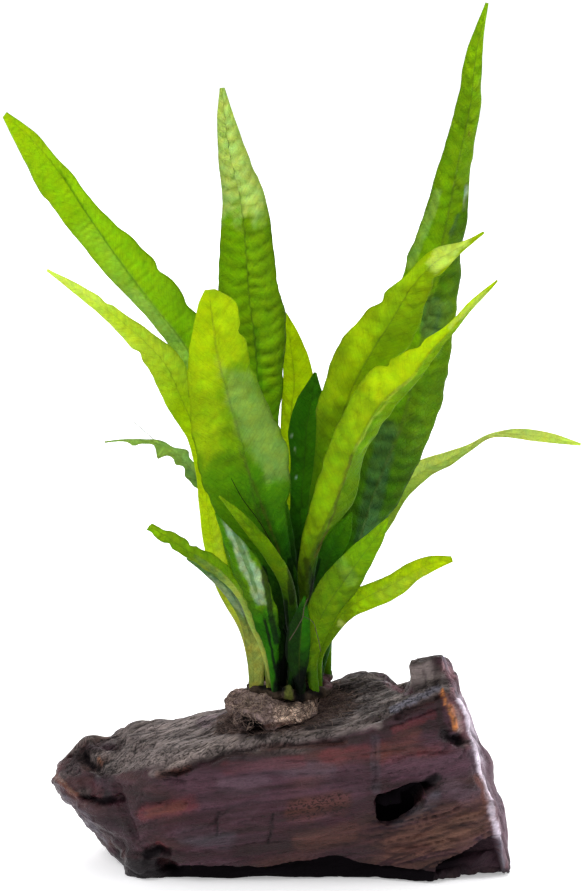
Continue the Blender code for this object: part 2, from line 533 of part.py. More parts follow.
def main():
    clear_scene()
    wood = driftwood()
    stem = rhizome()
    mat = root_mat(wood, stem)
    rooms = [grown(piece, GAP + SLACK, 3000) for piece in (stem, mat)]
    for name, (colour, folds, turns, wave, rows) in LEAVES.items():
        made = leaf(name, colour, folds, turns, wave, rows)
        for room in rooms:
            combine(made, room, "DIFFERENCE")
        weld(made)
        face_outwards(made)
    for room in rooms:
        bpy.data.objects.remove(room, do_unlink=True)


main()
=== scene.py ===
# %% [markdown]
# # Java fern on driftwood: the looks
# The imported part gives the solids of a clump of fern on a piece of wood, each in its place. This lesson
# dresses them: the wood gets its grain, cracks and sheen, each leaf its veins and waves, and the felt its
# roots. The first step loads that part as a frame that nothing here moves.

import math

import bpy
import numpy as np
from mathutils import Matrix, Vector, noise
from mathutils.bvhtree import BVHTree


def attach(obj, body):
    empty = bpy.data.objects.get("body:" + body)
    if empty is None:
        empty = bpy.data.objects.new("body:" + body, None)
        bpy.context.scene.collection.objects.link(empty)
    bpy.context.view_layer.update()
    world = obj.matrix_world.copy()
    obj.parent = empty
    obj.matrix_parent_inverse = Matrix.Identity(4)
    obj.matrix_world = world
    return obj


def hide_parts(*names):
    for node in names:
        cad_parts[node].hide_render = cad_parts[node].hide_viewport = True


MM = 0.001  # metres in a millimetre


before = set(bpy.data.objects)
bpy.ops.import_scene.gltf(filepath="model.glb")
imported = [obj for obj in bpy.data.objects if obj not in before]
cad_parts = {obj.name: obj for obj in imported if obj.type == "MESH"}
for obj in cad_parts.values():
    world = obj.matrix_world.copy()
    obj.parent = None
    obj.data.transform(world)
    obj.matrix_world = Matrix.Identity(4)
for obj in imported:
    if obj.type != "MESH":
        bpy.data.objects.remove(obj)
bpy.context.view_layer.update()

# %% [markdown]
# ## Camera
# The photograph was taken from the front and a little above, with a long lens that hardly narrows what is
# far away. A camera a metre off shows 0.28 mm in each of the 588 by 891 pixels when its lens is worked out
# from that. The same sums turned round tell which pixel a point falls on, so that a knot hole or a patch
# on a leaf can be laid where the photograph has it, on the surface that carries it.

# %% Camera
PIXEL = 0.28  # millimetres at the middle of the plant
PICTURE = (588, 891)
DISTANCE = 1000.0
ELEVATION = math.radians(12)
MIDDLE = Vector((0, 0, 119.2))
SENSOR = 36.0

camera = bpy.data.objects.new("camera", bpy.data.cameras.new("camera"))
bpy.context.scene.collection.objects.link(camera)
bpy.context.scene.camera = camera
camera.data.sensor_width = SENSOR
camera.data.lens = SENSOR * DISTANCE / (PIXEL * PICTURE[1])
backwards = Vector((0, -math.cos(ELEVATION), math.sin(ELEVATION)))
camera.location = (MIDDLE + backwards * DISTANCE) * MM
camera.rotation_euler = backwards.to_track_quat("Z", "Y").to_euler()
print("lens", round(camera.data.lens, 1), "mm")


# %% From places to pixels and back
def picture_of(places):
    """The pixels on which the camera sees points given in mm."""
    x, y, z = np.asarray(places, float).T
    z = z - MIDDLE.z
    depth = DISTANCE + y * math.cos(ELEVATION) - z * math.sin(ELEVATION)
    up = z * math.cos(ELEVATION) + y * math.sin(ELEVATION)
    shrink = DISTANCE / depth / PIXEL
    return np.stack([PICTURE[0] / 2 + x * shrink, PICTURE[1] / 2 - up * shrink], axis=1)


def place_seen(pixel, y):
    """The point in mm that the camera sees on a pixel, at a given depth."""
    right = (pixel[0] - PICTURE[0] / 2) * PIXEL / DISTANCE
    up = (PICTURE[1] / 2 - pixel[1]) * PIXEL / DISTANCE
    ray = np.array([right, math.cos(ELEVATION) + up * math.sin(ELEVATION),
                    up * math.cos(ELEVATION) - math.sin(ELEVATION)])
    start = np.array(MIDDLE + backwards * DISTANCE)
    return start + ray * (y - start[1]) / ray[1]


print("the middle is seen on pixel", picture_of([MIDDLE])[0])

# %% [markdown]
# ## Shader maths
# A finish is easier to read as sums than as a web of nodes. The class below holds one output socket:
# adding, multiplying or subtracting two of them makes the Math node for it. A second class makes a
# material and has one method for every other node. Colours go through Mix and Vector Math, because a Math
# node would turn them grey.

# %% Shader maths: sums of sockets
class Wire:
    """One output of a node, which takes part in sums."""

    def __init__(self, finish, socket):
        self.finish = finish
        self.socket = socket

    def sum(self, operation, *values):
        return self.finish.node("ShaderNodeMath", {"operation": operation}, dict(enumerate(values)))

    def __add__(self, other):
        return self.sum("ADD", self, other)

    def __radd__(self, other):
        return self.sum("ADD", other, self)

    def __sub__(self, other):
        return self.sum("SUBTRACT", self, other)

    def __rsub__(self, other):
        return self.sum("SUBTRACT", other, self)

    def __mul__(self, other):
        return self.sum("MULTIPLY", self, other)

    def __rmul__(self, other):
        return self.sum("MULTIPLY", other, self)

    def between(self, low, high):
        """0 at the low value, 1 at the high one and a smooth rise from one to the other."""
        sockets = {"Value": self, "From Min": low, "From Max": high}
        return self.finish.node("ShaderNodeMapRange", {"interpolation_type": "SMOOTHSTEP"}, sockets)


# %% Shader maths: a finish
class Finish:
    """A material, or the world, that is built node by node."""

    def __init__(self, owner, output="ShaderNodeOutputMaterial"):
        owner.use_nodes = True
        self.owner = owner
        self.output = output
        self.tree = owner.node_tree
        self.tree.nodes.clear()

    def node(self, kind, settings, sockets, output=0):
        """Any node: its type, its settings, the values or links of its sockets, and the output wanted."""
        made = self.tree.nodes.new(kind)
        stops = settings.get("stops", [])
        for _ in stops[2:]:
            made.color_ramp.elements.new(0.5)
        for stop, (position, colour) in zip(made.color_ramp.elements if stops else [], stops):
            stop.position = position
            stop.color = (*colour, 1)
        for key, value in settings.items():
            if key != "stops":
                setattr(made, key, value)
        for key, value in sockets.items():
            if isinstance(value, Wire):
                self.tree.links.new(value.socket, made.inputs[key])
            elif made.inputs[key].type == "RGBA":
                made.inputs[key].default_value = (*value, 1)
            else:
                made.inputs[key].default_value = value
        return Wire(self, made.outputs[output] if made.outputs else None)

    def painted(self, name, output=2):
        """What the mesh carries at its points: a number, or with output 0 a colour and 1 a vector."""
        return self.node("ShaderNodeAttribute", {"attribute_name": name}, {}, output)

    def mottle(self, place, scale, detail=3.0, stretch=(1, 1, 1)):
        """Smooth noise about 0.5."""
        stretched = self.node("ShaderNodeVectorMath", {"operation": "MULTIPLY"}, {0: place, 1: stretch})
        return self.node("ShaderNodeTexNoise", {}, {"Vector": stretched, "Scale": scale, "Detail": detail})

    def mix(self, share, first, second):
        return self.node("ShaderNodeMix", {"data_type": "RGBA"}, {0: share, 6: first, 7: second}, 2)

    def brighten(self, colour, times):
        """A colour times a number that may vary."""
        return self.node("ShaderNodeVectorMath", {"operation": "SCALE"}, {0: colour, "Scale": times})

    def ramp(self, value, stops):
        return self.node("ShaderNodeValToRGB", {"stops": stops}, {0: value})

    def bump(self, height, distance, strength=1.0):
        sockets = {"Height": height, "Distance": distance, "Strength": strength}
        return self.node("ShaderNodeBump", {}, sockets)

    def surface(self, **sockets):
        """The main shader. A socket is given by its name, with _ for each space."""
        sockets = {key.replace("_", " "): value for key, value in sockets.items()}
        return self.node("ShaderNodeBsdfPrincipled", {}, sockets)

    def done(self, shader):
        self.node(self.output, {}, {"Surface": shader})
        return self.owner


def new_finish(name):
    return Finish(bpy.data.materials.new(name))


# %% [markdown]
# ## Light and floor
# The plant stands on white in even white light, much of it from behind and above, so that the thin leaves
# glow while the front of the wood stays dark. The camera sees a white world, and the light that the world
# gives is stronger from behind. Lamps with sharp edges would draw streaks on the wood, so all are large.

# %% Light
FRONT_LIGHT = 0.42  # what the white world gives from the front
MORE_BEHIND = 0.9
# For each lamp: its place and its aim in metres, the length of its sides and its power in watts.
LAMPS = {"lamp_behind": ((0.2, 1.1, 0.8), (0, 0, 0.12), 0.9, 12),
         "lamp_left": ((-0.8, -0.35, 1.0), (0, 0, 0.08), 0.5, 6),
         "lamp_right": ((0.9, 0.25, 0.3), (0.05, 0, 0.04), 0.4, 4)}

bpy.context.scene.view_settings.view_transform = "Standard"
room = Finish(bpy.data.worlds.new("white_room"), "ShaderNodeOutputWorld")
bpy.context.scene.world = room.owner
direction = room.node("ShaderNodeTexCoord", {}, {}, 0)
to_back = room.node("ShaderNodeSeparateXYZ", {}, {0: direction}, 1)
seen = room.node("ShaderNodeLightPath", {}, {}, 0)
light = FRONT_LIGHT + MORE_BEHIND * to_back.between(-0.5, 0.6)
strength = seen + (1 - seen) * light
room.done(room.node("ShaderNodeBackground", {}, {"Color": (1, 1, 1), "Strength": strength}))


def lamp(name, place, aim, size, power):
    """A square area lamp that faces its aim."""
    light = bpy.data.lights.new(name, "AREA")
    light.size = size
    light.energy = power
    made = bpy.data.objects.new(name, light)
    bpy.context.scene.collection.objects.link(made)
    made.location = place
    made.rotation_euler = (Vector(place) - Vector(aim)).to_track_quat("Z", "Y").to_euler()


for name, settings in LAMPS.items():
    lamp(name, *settings)
print("lamps:", len(LAMPS))

# %% Floor
FLOOR_REACH = 12.0  # metres
PAPER = ((0.93, 0.93, 0.95), (0.95, 0.95, 0.97))
PAPER_GLOW = 0.34

paper = new_finish("floor_paper")
tone = paper.mottle(paper.node("ShaderNodeTexCoord", {}, {}, 3), 40.0)
paper.done(paper.surface(Base_Color=paper.mix(tone, *PAPER), Roughness=0.9, Specular_IOR_Level=0.1,
                         Emission_Color=(1, 1, 1), Emission_Strength=PAPER_GLOW))
sheet = bpy.data.meshes.new("floor")
corners = [Vector(c) * FLOOR_REACH for c in ((-1, -1, 0), (1, -1, 0), (1, 1, 0), (-1, 1, 0))]
sheet.from_pydata(corners, [], [(0, 1, 2, 3)])
sheet.materials.append(paper.owner)
floor = bpy.data.objects.new("floor", sheet)
bpy.context.scene.collection.objects.link(floor)
print("floor:", 2 * FLOOR_REACH, "metres wide")

# %% [markdown]
# ## Helpers for meshes
# The relief of wood and leaves is worked out for all points of a mesh at once, as arrays. These helpers
# read smooth noise at many places, find the points that lie under a stroke in the picture, make objects
# from arrays, and paint values on their points for the shaders.

# %% Helpers: noise and smooth steps
SEED_STEP = 17.3  # how far apart the noise of two seeds is read
FLAT_PLACE = 7.7  # the third coordinate of places that have two


def smooth_step(values, low, high):
    share = np.clip((values - low) / (high - low), 0, 1)
    return share * share * (3 - 2 * share)


def noise_at(places, lengths, seed=0):
    """Smooth noise from -1 to 1 at places in mm, stretched to a length along each axis."""
    places = np.asarray(places, float)
    scaled = places.reshape(-1, places.shape[-1]) / np.array(lengths, float) + SEED_STEP * seed
    if scaled.shape[1] == 2:
        scaled = np.column_stack([scaled, np.full(len(scaled), FLAT_PLACE)])
    return np.array([noise.noise(Vector(place)) for place in scaled]).reshape(places.shape[:-1])


def noise_layers(places, layers):
    """A sum of noises, each with its height, its lengths along the axes and its seed."""
    return sum(height * noise_at(places, lengths, seed) for height, lengths, seed in layers)


def unit(vectors):
    return vectors / np.maximum(np.linalg.norm(vectors, axis=-1, keepdims=True), 1e-9)


def towards(colours, target, share):
    """Colours moved a share of the way to another colour."""
    return colours + (np.array(target) - colours) * share[:, None]


# %% Helpers: strokes and patches in the picture
STROKE_EDGE = (1.2, 0.45)  # in half widths: where a stroke ends and where it covers in full


def to_segment(pixels, start, end):
    """How far pixels lie from a straight line between two of the picture's points."""
    span = end - start
    share = np.clip((pixels - start) @ span / max(span @ span, 1e-9), 0, 1)
    return np.linalg.norm(pixels - start - share[:, None] * span, axis=1)


def stroke(pixels, points, width):
    """1 at pixels near a line through some points of the picture, falling to 0 at its width."""
    points = np.array(points, float)
    nearest = np.min([to_segment(pixels, *pair) for pair in zip(points, points[1:])], axis=0)
    return smooth_step(-nearest, -STROKE_EDGE[0] * width, -STROKE_EDGE[1] * width)


def inside(pixels, corners, soft):
    """1 at pixels inside an outline in the picture, falling to 0 over a soft edge on both sides of it."""
    corners = np.array(corners, float)
    crossings = np.zeros(len(pixels), bool)
    nearest = np.full(len(pixels), 1e9)
    for start, end in zip(corners, np.roll(corners, -1, axis=0)):
        nearest = np.minimum(nearest, to_segment(pixels, start, end))
        spans = (start[1] > pixels[:, 1]) != (end[1] > pixels[:, 1])
        drop = end[1] - start[1]
        rise = np.where(spans, pixels[:, 1] - start[1], 0) / (drop if drop else 1)
        crossings ^= spans & (pixels[:, 0] < start[0] + rise * (end[0] - start[0]))
    return smooth_step(np.where(crossings, nearest, -nearest), -soft, soft)


def cut_depth(pixels, cuts):
    """How deep strokes cut a surface, each with its depth, its half width and its pixels."""
    return sum(depth * stroke(pixels, points, width) for depth, width, points in cuts)


def lay_marks(tint, colours, pixels, marks):
    """A tint with strokes of named colours laid over it, one after another."""
    for name, cover, width, points in marks:
        tint = towards(tint, colours[name], cover * stroke(pixels, points, width))
    return tint


# %% Helpers: pieces made from arrays
def paint(made, name, values):
    """Store a number or a vector for each point."""
    values = np.asarray(values, np.float32)
    kind, key = ("FLOAT", "value") if values.ndim == 1 else ("FLOAT_VECTOR", "vector")
    layer = made.data.attributes.new(name, kind, "POINT")
    layer.data.foreach_set(key, values.ravel())


def add_piece(name, points, faces, material, node=None):
    """An object from points in mm, which rides on the part and may stand for a node of it."""
    mesh = bpy.data.meshes.new(name)
    mesh.from_pydata((np.asarray(points) * MM).tolist(), [], faces)
    mesh.shade_smooth()
    mesh.materials.append(material)
    made = bpy.data.objects.new(name, mesh)
    bpy.context.scene.collection.objects.link(made)
    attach(made, "root")
    if node:
        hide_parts(node)
    return made


# %% Helpers: a finer copy of a solid
def read_points(mesh, collection, key):
    values = np.empty(len(mesh.vertices) * 3)
    getattr(mesh, collection).foreach_get(key, values)
    return values.reshape(-1, 3)


def fine_copy(node, name, cell, rounds):
    """A solid as an even skin of small faces, with its facets smoothed away, and its points and normals."""
    made = bpy.data.objects.new(name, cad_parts[node].data.copy())
    bpy.context.scene.collection.objects.link(made)
    skin = made.modifiers.new("skin", "REMESH")
    skin.mode = "VOXEL"
    skin.voxel_size = cell * MM
    soften = made.modifiers.new("soften", "SMOOTH")
    soften.factor = 0.5
    soften.iterations = rounds
    mesh = bpy.data.meshes.new_from_object(made.evaluated_get(bpy.context.evaluated_depsgraph_get()))
    made.modifiers.clear()
    made.data = mesh
    mesh.materials.clear()
    mesh.shade_smooth()
    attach(made, "root")
    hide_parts(node)
    print(name, len(mesh.polygons), "faces")
    return made, read_points(mesh, "vertices", "co") / MM, read_points(mesh, "vertex_normals", "vector")


def move_points(made, places):
    made.data.vertices.foreach_set("co", (places * MM).ravel())
    made.data.update()

# %% [markdown]
# ## Driftwood: its shape
# The real piece is a dense red wood. Its top is weathered grey, with furrows and thin plates along the
# grain, and its front is worn smooth and dark, with a knot hole, cracks and bare red patches. The solid
# has the form. A finer copy of it is pushed in and out here, by noise that is stretched along the grain
# and by strokes that are laid where the camera sees them. A displacement node could do it, but the
# exported mesh would lose it.

# %% Driftwood: a finer copy of the solid
WOOD_CELL = 0.62  # mm
WOOD_SOFTENING = 8

wood, wood_places, wood_normals = fine_copy(
    "driftwood", "weathered_driftwood", WOOD_CELL, WOOD_SOFTENING)
wood_seen = smooth_step(wood_normals @ np.array(backwards), -0.02, 0.12)
x, y, z = wood_places.T
wood_top = smooth_step(wood_normals[:, 2], 0.45, 0.8) * smooth_step(z, 15, 25)
wood_end = smooth_step(wood_normals[:, 0], 0.35, 0.75) * smooth_step(x, 32, 42)
wood_front = (1 - wood_top) * (1 - wood_end)
print("share of the points on the top:", round(float(wood_top.mean()), 2))

# %% Driftwood: its grain
LEFT_GRAIN = 42  # degrees in plan, for the left part of the top
RIGHT_GRAIN = 14
FRONT_TILT = 9  # degrees that the grain of the front climbs
FIBRE_TILT = 14


def turned(places, degrees, tilt=0.0):
    """The places with their first axis along a grain that is turned in plan and then tilted up."""
    a, b = math.radians(degrees), math.radians(tilt)
    grain = np.array([math.cos(a) * math.cos(b), math.sin(a) * math.cos(b), math.sin(b)])
    side = np.array([-math.sin(a), math.cos(a), 0])
    return places @ np.stack([grain, side, np.cross(grain, side)], axis=1)


left_grain, right_grain = turned(wood_places, LEFT_GRAIN), turned(wood_places, RIGHT_GRAIN)
front_grain, end_grain = turned(wood_places, 0, FRONT_TILT), wood_places[:, [2, 1, 0]]
to_right = smooth_step(x + 0.5 * y, -30, 5)
print("share of the points with the right grain:", round(float(to_right.mean()), 2))


# %% Driftwood: furrows and plates of its top
# Noise, each with its height and its lengths along and across the grain in mm, and its seed.
TOP_NOISE = [(0.22, (22, 1.1, 3), 4), (0.14, (5, 0.8, 1), 15)]
PLATE_HEIGHT = 0.24
FURROW_DEPTH = 0.5


def furrows(places, lengths, width, seed):
    """1 along thin lines where noise crosses zero, 0 between them."""
    return 1 - smooth_step(np.abs(noise_at(places, lengths, seed)), 0, width)


def plates(places, lengths, count, seed):
    """Steps, as of thin layers that have broken off."""
    height = noise_at(places, lengths, seed) * count
    return np.floor(height) + smooth_step(height - np.floor(height), 0.0, 0.3)


def top_layers(grain):
    """The relief of weathered wood along a grain, and how deep its dark furrows are."""
    deep = furrows(grain, (34, 2.2, 5), 0.11, 2) + 0.7 * furrows(grain, (16, 1.2, 3), 0.18, 3)
    relief = PLATE_HEIGHT * plates(grain, (50, 4, 9), 4, 1) + noise_layers(grain, TOP_NOISE)
    return relief - FURROW_DEPTH * deep, deep


top_rise, top_deep = (to_right * on_right + (1 - to_right) * on_left
                      for on_right, on_left in zip(top_layers(right_grain), top_layers(left_grain)))
rise = wood_top * top_rise
print("relief of the top in mm:", round(float(rise.min()), 1), "to", round(float(rise.max()), 1))

# %% Driftwood: relief of the front, the nose and the end
FRONT_NOISE = [(0.7, (18, 12, 8), 5), (0.3, (8, 4, 3), 6), (0.1, (4, 1, 0.9), 16)]
NOSE_NOISE = [(1.0, (4, 4, 3), 17), (0.6, (1.8, 1.8, 1.5), 18), (0.3, (1.0, 1.0, 0.9), 20)]
END_NOISE = [(0.6, (13, 5, 6), 9), (0.3, (7, 2, 3), 10)]

front_deep = furrows(front_grain, (30, 6, 3.5), 0.06, 8)
rise += wood_front * (noise_layers(front_grain, FRONT_NOISE) + 0.3 * plates(front_grain, (22, 9, 5), 3, 7)
                      - 0.35 * front_deep)
fibres = smooth_step(x, 15, 30) * smooth_step(-z, -26, -18) * wood_front
fibre_deep = fibres * furrows(turned(wood_places, 0, FIBRE_TILT), (12, 2.5, 1.2), 0.3, 12)
rise -= 0.45 * fibre_deep
on_nose = smooth_step(-x, 44, 52) * wood_front * (0.35 + 0.65 * smooth_step(z, 26, 34))
rise += on_nose * noise_layers(wood_places, NOSE_NOISE)
end_deep = furrows(end_grain, (16, 3, 5), 0.12, 11)
rise += wood_end * (noise_layers(end_grain, END_NOISE) + 0.2 * plates(end_grain, (20, 4, 6), 3, 19)
                    - 0.5 * end_deep)
print("share of the points with fibres:", round(float(fibres.mean()), 2))

# %% Driftwood: the strokes that shape it
# Each has its depth in mm (less than 0 stands proud), its half width in pixels and the pixels it runs
# through.
WOOD_CUTS = [
    (1.0, 4, [(117, 786), (122, 806), (130, 824), (137, 838)]),  # groove between the nose and the belly
    (-1.1, 3, [(54, 778), (64, 785), (78, 797)]),  # ridge that slants down the nose
    (2.2, 4.5, [(82, 797), (100, 802), (117, 801)]),  # hollow under that ridge
    (1.8, 7, [(98, 742), (112, 742), (120, 737)]),  # step behind the nose
    (2.0, 8, [(86, 760), (98, 768)]),  # burnt pit in the nose
    (1.2, 4, [(70, 752), (78, 744), (86, 740)]),
    (-0.6, 2.4, [(166, 771), (190, 759), (222, 746), (262, 739), (300, 738), (345, 732), (379, 725)]),  # lip
    (1.2, 3, [(178, 774), (200, 766), (228, 754), (266, 746), (302, 745), (345, 740)]),  # hollow under it
    (0.6, 1.5, [(375, 738), (377, 762), (374, 788)]),  # seam between two worn faces
    (0.5, 22, [(395, 745), (400, 762)]),  # the face right of the seam lies deeper
    (0.6, 1.1, [(219, 812), (216, 836)]),
    (0.7, 1.2, [(273, 816), (268, 842)]),
    (0.8, 1.6, [(162, 770), (176, 773), (190, 769)]),
    (0.8, 1.6, [(166, 779), (184, 781)]),
    (0.7, 2.0, [(140, 806), (160, 802), (186, 804)]),  # rim above the red patch
    (1.6, 4, [(148, 850), (158, 846), (168, 852)]),  # hollow over the foot
    (-1.6, 8, [(126, 858), (140, 866)]),  # lumps of the foot
    (-1.0, 5, [(112, 846), (120, 854)]),
    (1.8, 6, [(446, 735), (458, 741)]),  # pit at the right end
    (-0.7, 2.5, [(443, 690), (448, 706), (456, 728)]),  # glossy ridge of the end
    (-0.6, 3.5, [(459, 700), (470, 735), (480, 765), (490, 800), (500, 832)]),  # rim of the end
    (1.5, 4, [(397, 716), (420, 704), (440, 696)]),  # ledge below the fin
    (-0.8, 3, [(441, 668), (441, 686)]),  # ridge up the fin
    (1.6, 5, [(392, 678), (402, 683)]),  # saddle left of the fin
    (0.8, 2.0, [(409, 694), (425, 690), (438, 686)]),
    (0.7, 1.8, [(392, 726), (420, 716), (438, 708)]),
    (-1.6, 8, [(474, 869), (496, 869)]),  # lower right corner
    (0.6, 1.4, [(410, 838), (440, 828), (470, 822)]),
    (0.6, 1.4, [(400, 850), (432, 842), (462, 838)]),
    (0.6, 1.4, [(420, 820), (450, 812), (474, 804)]),
    (0.6, 1.6, [(392, 760), (420, 752), (446, 752)]),
]
STROKE_WOBBLE = 1.6  # pixels that a stroke strays from its line
# Noise for each of the two directions of the picture.
WOBBLES = [[(1, (4, 4, 4), seed), (0.5, (1.5, 1.5, 1.5), seed + 20)] for seed in (13, 14)]

pixels = picture_of(wood_places)
wobble = np.stack([noise_layers(wood_places, layers) for layers in WOBBLES], axis=1)
rise -= cut_depth(pixels + STROKE_WOBBLE * wobble, WOOD_CUTS) * wood_seen
print("strokes:", len(WOOD_CUTS))

# %% Driftwood: lumps, the knot hole and the hollow under its edge
# Lumps that shape the outline, in mm: how far they stand out or in, their reach and their middle.
WOOD_LUMPS = [(2.6, 6, (54, 2, 25)), (1.6, 5, (57, 0, 14)), (1.8, 5, (42, 4, 57)), (-1.8, 4, (49, -4, 36)),
              (-2.6, 7, (-57, -18, 8)), (-2.0, 6, (-62, -14, 16)), (1.4, 5, (34, 8, 60)),
              (-2.2, 4, (27, 8, 54)), (2.0, 5, (-59, 3, 32.5)), (-1.8, 4, (-50, 4, 37)),
              (-1.5, 5, (-51, -20, 4)), (-1.3, 5, (32, 4, 56)), (-1.8, 4.5, (-66, 1.5, 29.5)),
              (-1.6, 3.5, (-52, 7, 34)), (-1.6, 3.5, (-51.5, 12, 34.2))]
# Outlines in pixels: the knot hole, the broken corner at the lower right, and the edge over the shaded
# foot. The knot hole, the corner and the band below that edge are painted dark, as painted shade.
KNOT = [(375, 803), (379, 797), (390, 793), (410, 785), (430, 782), (434, 784), (428, 790), (418, 798),
        (406, 808), (394, 815), (382, 816), (377, 810)]
RECESS = [(497, 835), (462, 854), (436, 866), (430, 886), (502, 886), (500, 850)]
LOWER_EDGE = [(110, 846), (126, 872), (144, 876), (170, 862), (178, 866), (240, 867), (280, 864),
              (310, 860), (332, 855), (352, 859), (366, 862), (405, 866), (436, 868), (444, 874),
              (512, 884)]
KNOT_DEPTH = 4.5
RECESS_DEPTH = 3.2
UNDER_DEPTH = 1.8
UNDER_START = (150, 175)  # pixels across between which the shaded foot sets in
FOOT_FLARE = 3.2

for height, reach, middle in WOOD_LUMPS:
    rise += height * np.exp(-(np.linalg.norm(wood_places - middle, axis=1) / reach) ** 2)
knot = inside(pixels + 1.8 * wobble, KNOT, 2.5) * (y < -2)
recess = inside(pixels + 0.6 * wobble, RECESS, 1.2) * wood_seen
below_edge = pixels[:, 1] - np.interp(pixels[:, 0], *zip(*LOWER_EDGE))
shaded_underside = smooth_step(below_edge + 1.2 * wobble[:, 1], -1.0, 1.5)
shaded_underside *= wood_seen * smooth_step(pixels[:, 0], *UNDER_START)
rise -= KNOT_DEPTH * knot * wood_seen + RECESS_DEPTH * recess
rise -= UNDER_DEPTH * shaded_underside * (1 - recess) * smooth_step(z, 1, 4)
wood_places = wood_places + wood_normals * rise[:, None]
flare = smooth_step(-z, -7, -1) * smooth_step(0.35 * np.maximum(x - 20, 0) - y, 8, 16)
flare *= FOOT_FLARE * (smooth_step(x, -30, 15) + smooth_step(x, 25, 45))
wood_places[:, 1] -= flare  # the foot of the front, in the shade
wood_places[:, 2] = np.maximum(wood_places[:, 2], 0)
move_points(wood, wood_places)
print("relief of the wood in mm:", round(float(rise.min()), 1), "to", round(float(rise.max()), 1))

# %% [markdown]
# ## Driftwood: its colours
# The front isn't one brown: bare patches are red or orange, others are fibrous and tan, and the knot hole
# is painted black as painted shade. Each patch is a stroke in one of the colours below, painted on the
# points, and noise in the shader then breaks it up into streaks, fibres and specks. Some strokes are
# painted shade in grooves, cracks, pits and under edges, and some are painted highlights along ridges and
# the rim of the end. An image would be simpler, but it would show only one side.

# %% Driftwood: its ground colours
WOOD_COLOURS = {
    "front": (0.042, 0.013, 0.020), "worn": (0.085, 0.036, 0.055), "red": (0.15, 0.026, 0.032),
    "rust": (0.17, 0.055, 0.032), "orange": (0.55, 0.19, 0.05), "fibre": (0.12, 0.045, 0.034),
    "tan": (0.17, 0.085, 0.055), "lilac_sheen": (0.82, 0.72, 0.84), "mauve": (0.17, 0.105, 0.14),
    "grey": (0.092, 0.070, 0.067), "ash": (0.25, 0.20, 0.19), "slate": (0.085, 0.078, 0.10),
    "umber": (0.022, 0.009, 0.010), "black_shade": (0.003, 0.002, 0.003), "earth_and_shade": (0.012, 0.009, 0.011),
    "fin": (0.26, 0.21, 0.20), "lip": (0.42, 0.33, 0.30), "plum": (0.045, 0.020, 0.030),
    "pink": (0.30, 0.14, 0.16), "steel": (0.16, 0.15, 0.19)}
STREAKS = [(0.7, (34, 5, 3)), (0.5, (15, 2.2, 1.4)), (0.35, (6, 1.0, 0.7))]  # strengths and lengths


def streaks_at(grain, seed):
    """Streaks of several sizes along a grain, from -1 to 1."""
    return noise_layers(grain, [(height, lengths, seed + k) for k, (height, lengths) in enumerate(STREAKS)])


def tinted(tint, name, share):
    """A tint moved a share of the way to one of the wood's colours."""
    return towards(tint, WOOD_COLOURS[name], share)


front_streaks = streaks_at(front_grain, 23)
tint = np.tile(WOOD_COLOURS["front"], (len(x), 1))
tint = tinted(tint, "umber", 0.75 * smooth_step(-front_streaks, 0.02, 0.4))
tint = tinted(tint, "worn", 0.6 * smooth_step(front_streaks, 0.02, 0.45))
tint = tinted(tint, "fibre", 0.5 * smooth_step(noise_at(front_grain, (20, 9, 6), 21), 0.0, 0.6))
top_streaks = to_right * streaks_at(right_grain, 36) + (1 - to_right) * streaks_at(left_grain, 36)
top_tint = tinted(np.tile(WOOD_COLOURS["grey"], (len(x), 1)), "ash", smooth_step(top_streaks, 0, 0.7))
top_tint = tinted(top_tint, "umber", 0.7 * smooth_step(-top_streaks, 0.05, 0.6))
tint += (top_tint - tint) * wood_top[:, None]
tint = tinted(tint, "ash", 0.45 * wood_top * smooth_step(-x, 5, 45))
tint = tinted(tint, "umber", 0.35 * wood_front * smooth_step(-x, 20, 50))
tint = tinted(tint, "mauve", 0.6 * wood_end)
tint = tinted(tint, "steel", 0.5 * wood_end * smooth_step(noise_at(end_grain, (14, 4, 6), 22), 0, 0.5))
print("mean ground colour:", tint.mean(axis=0).round(3))

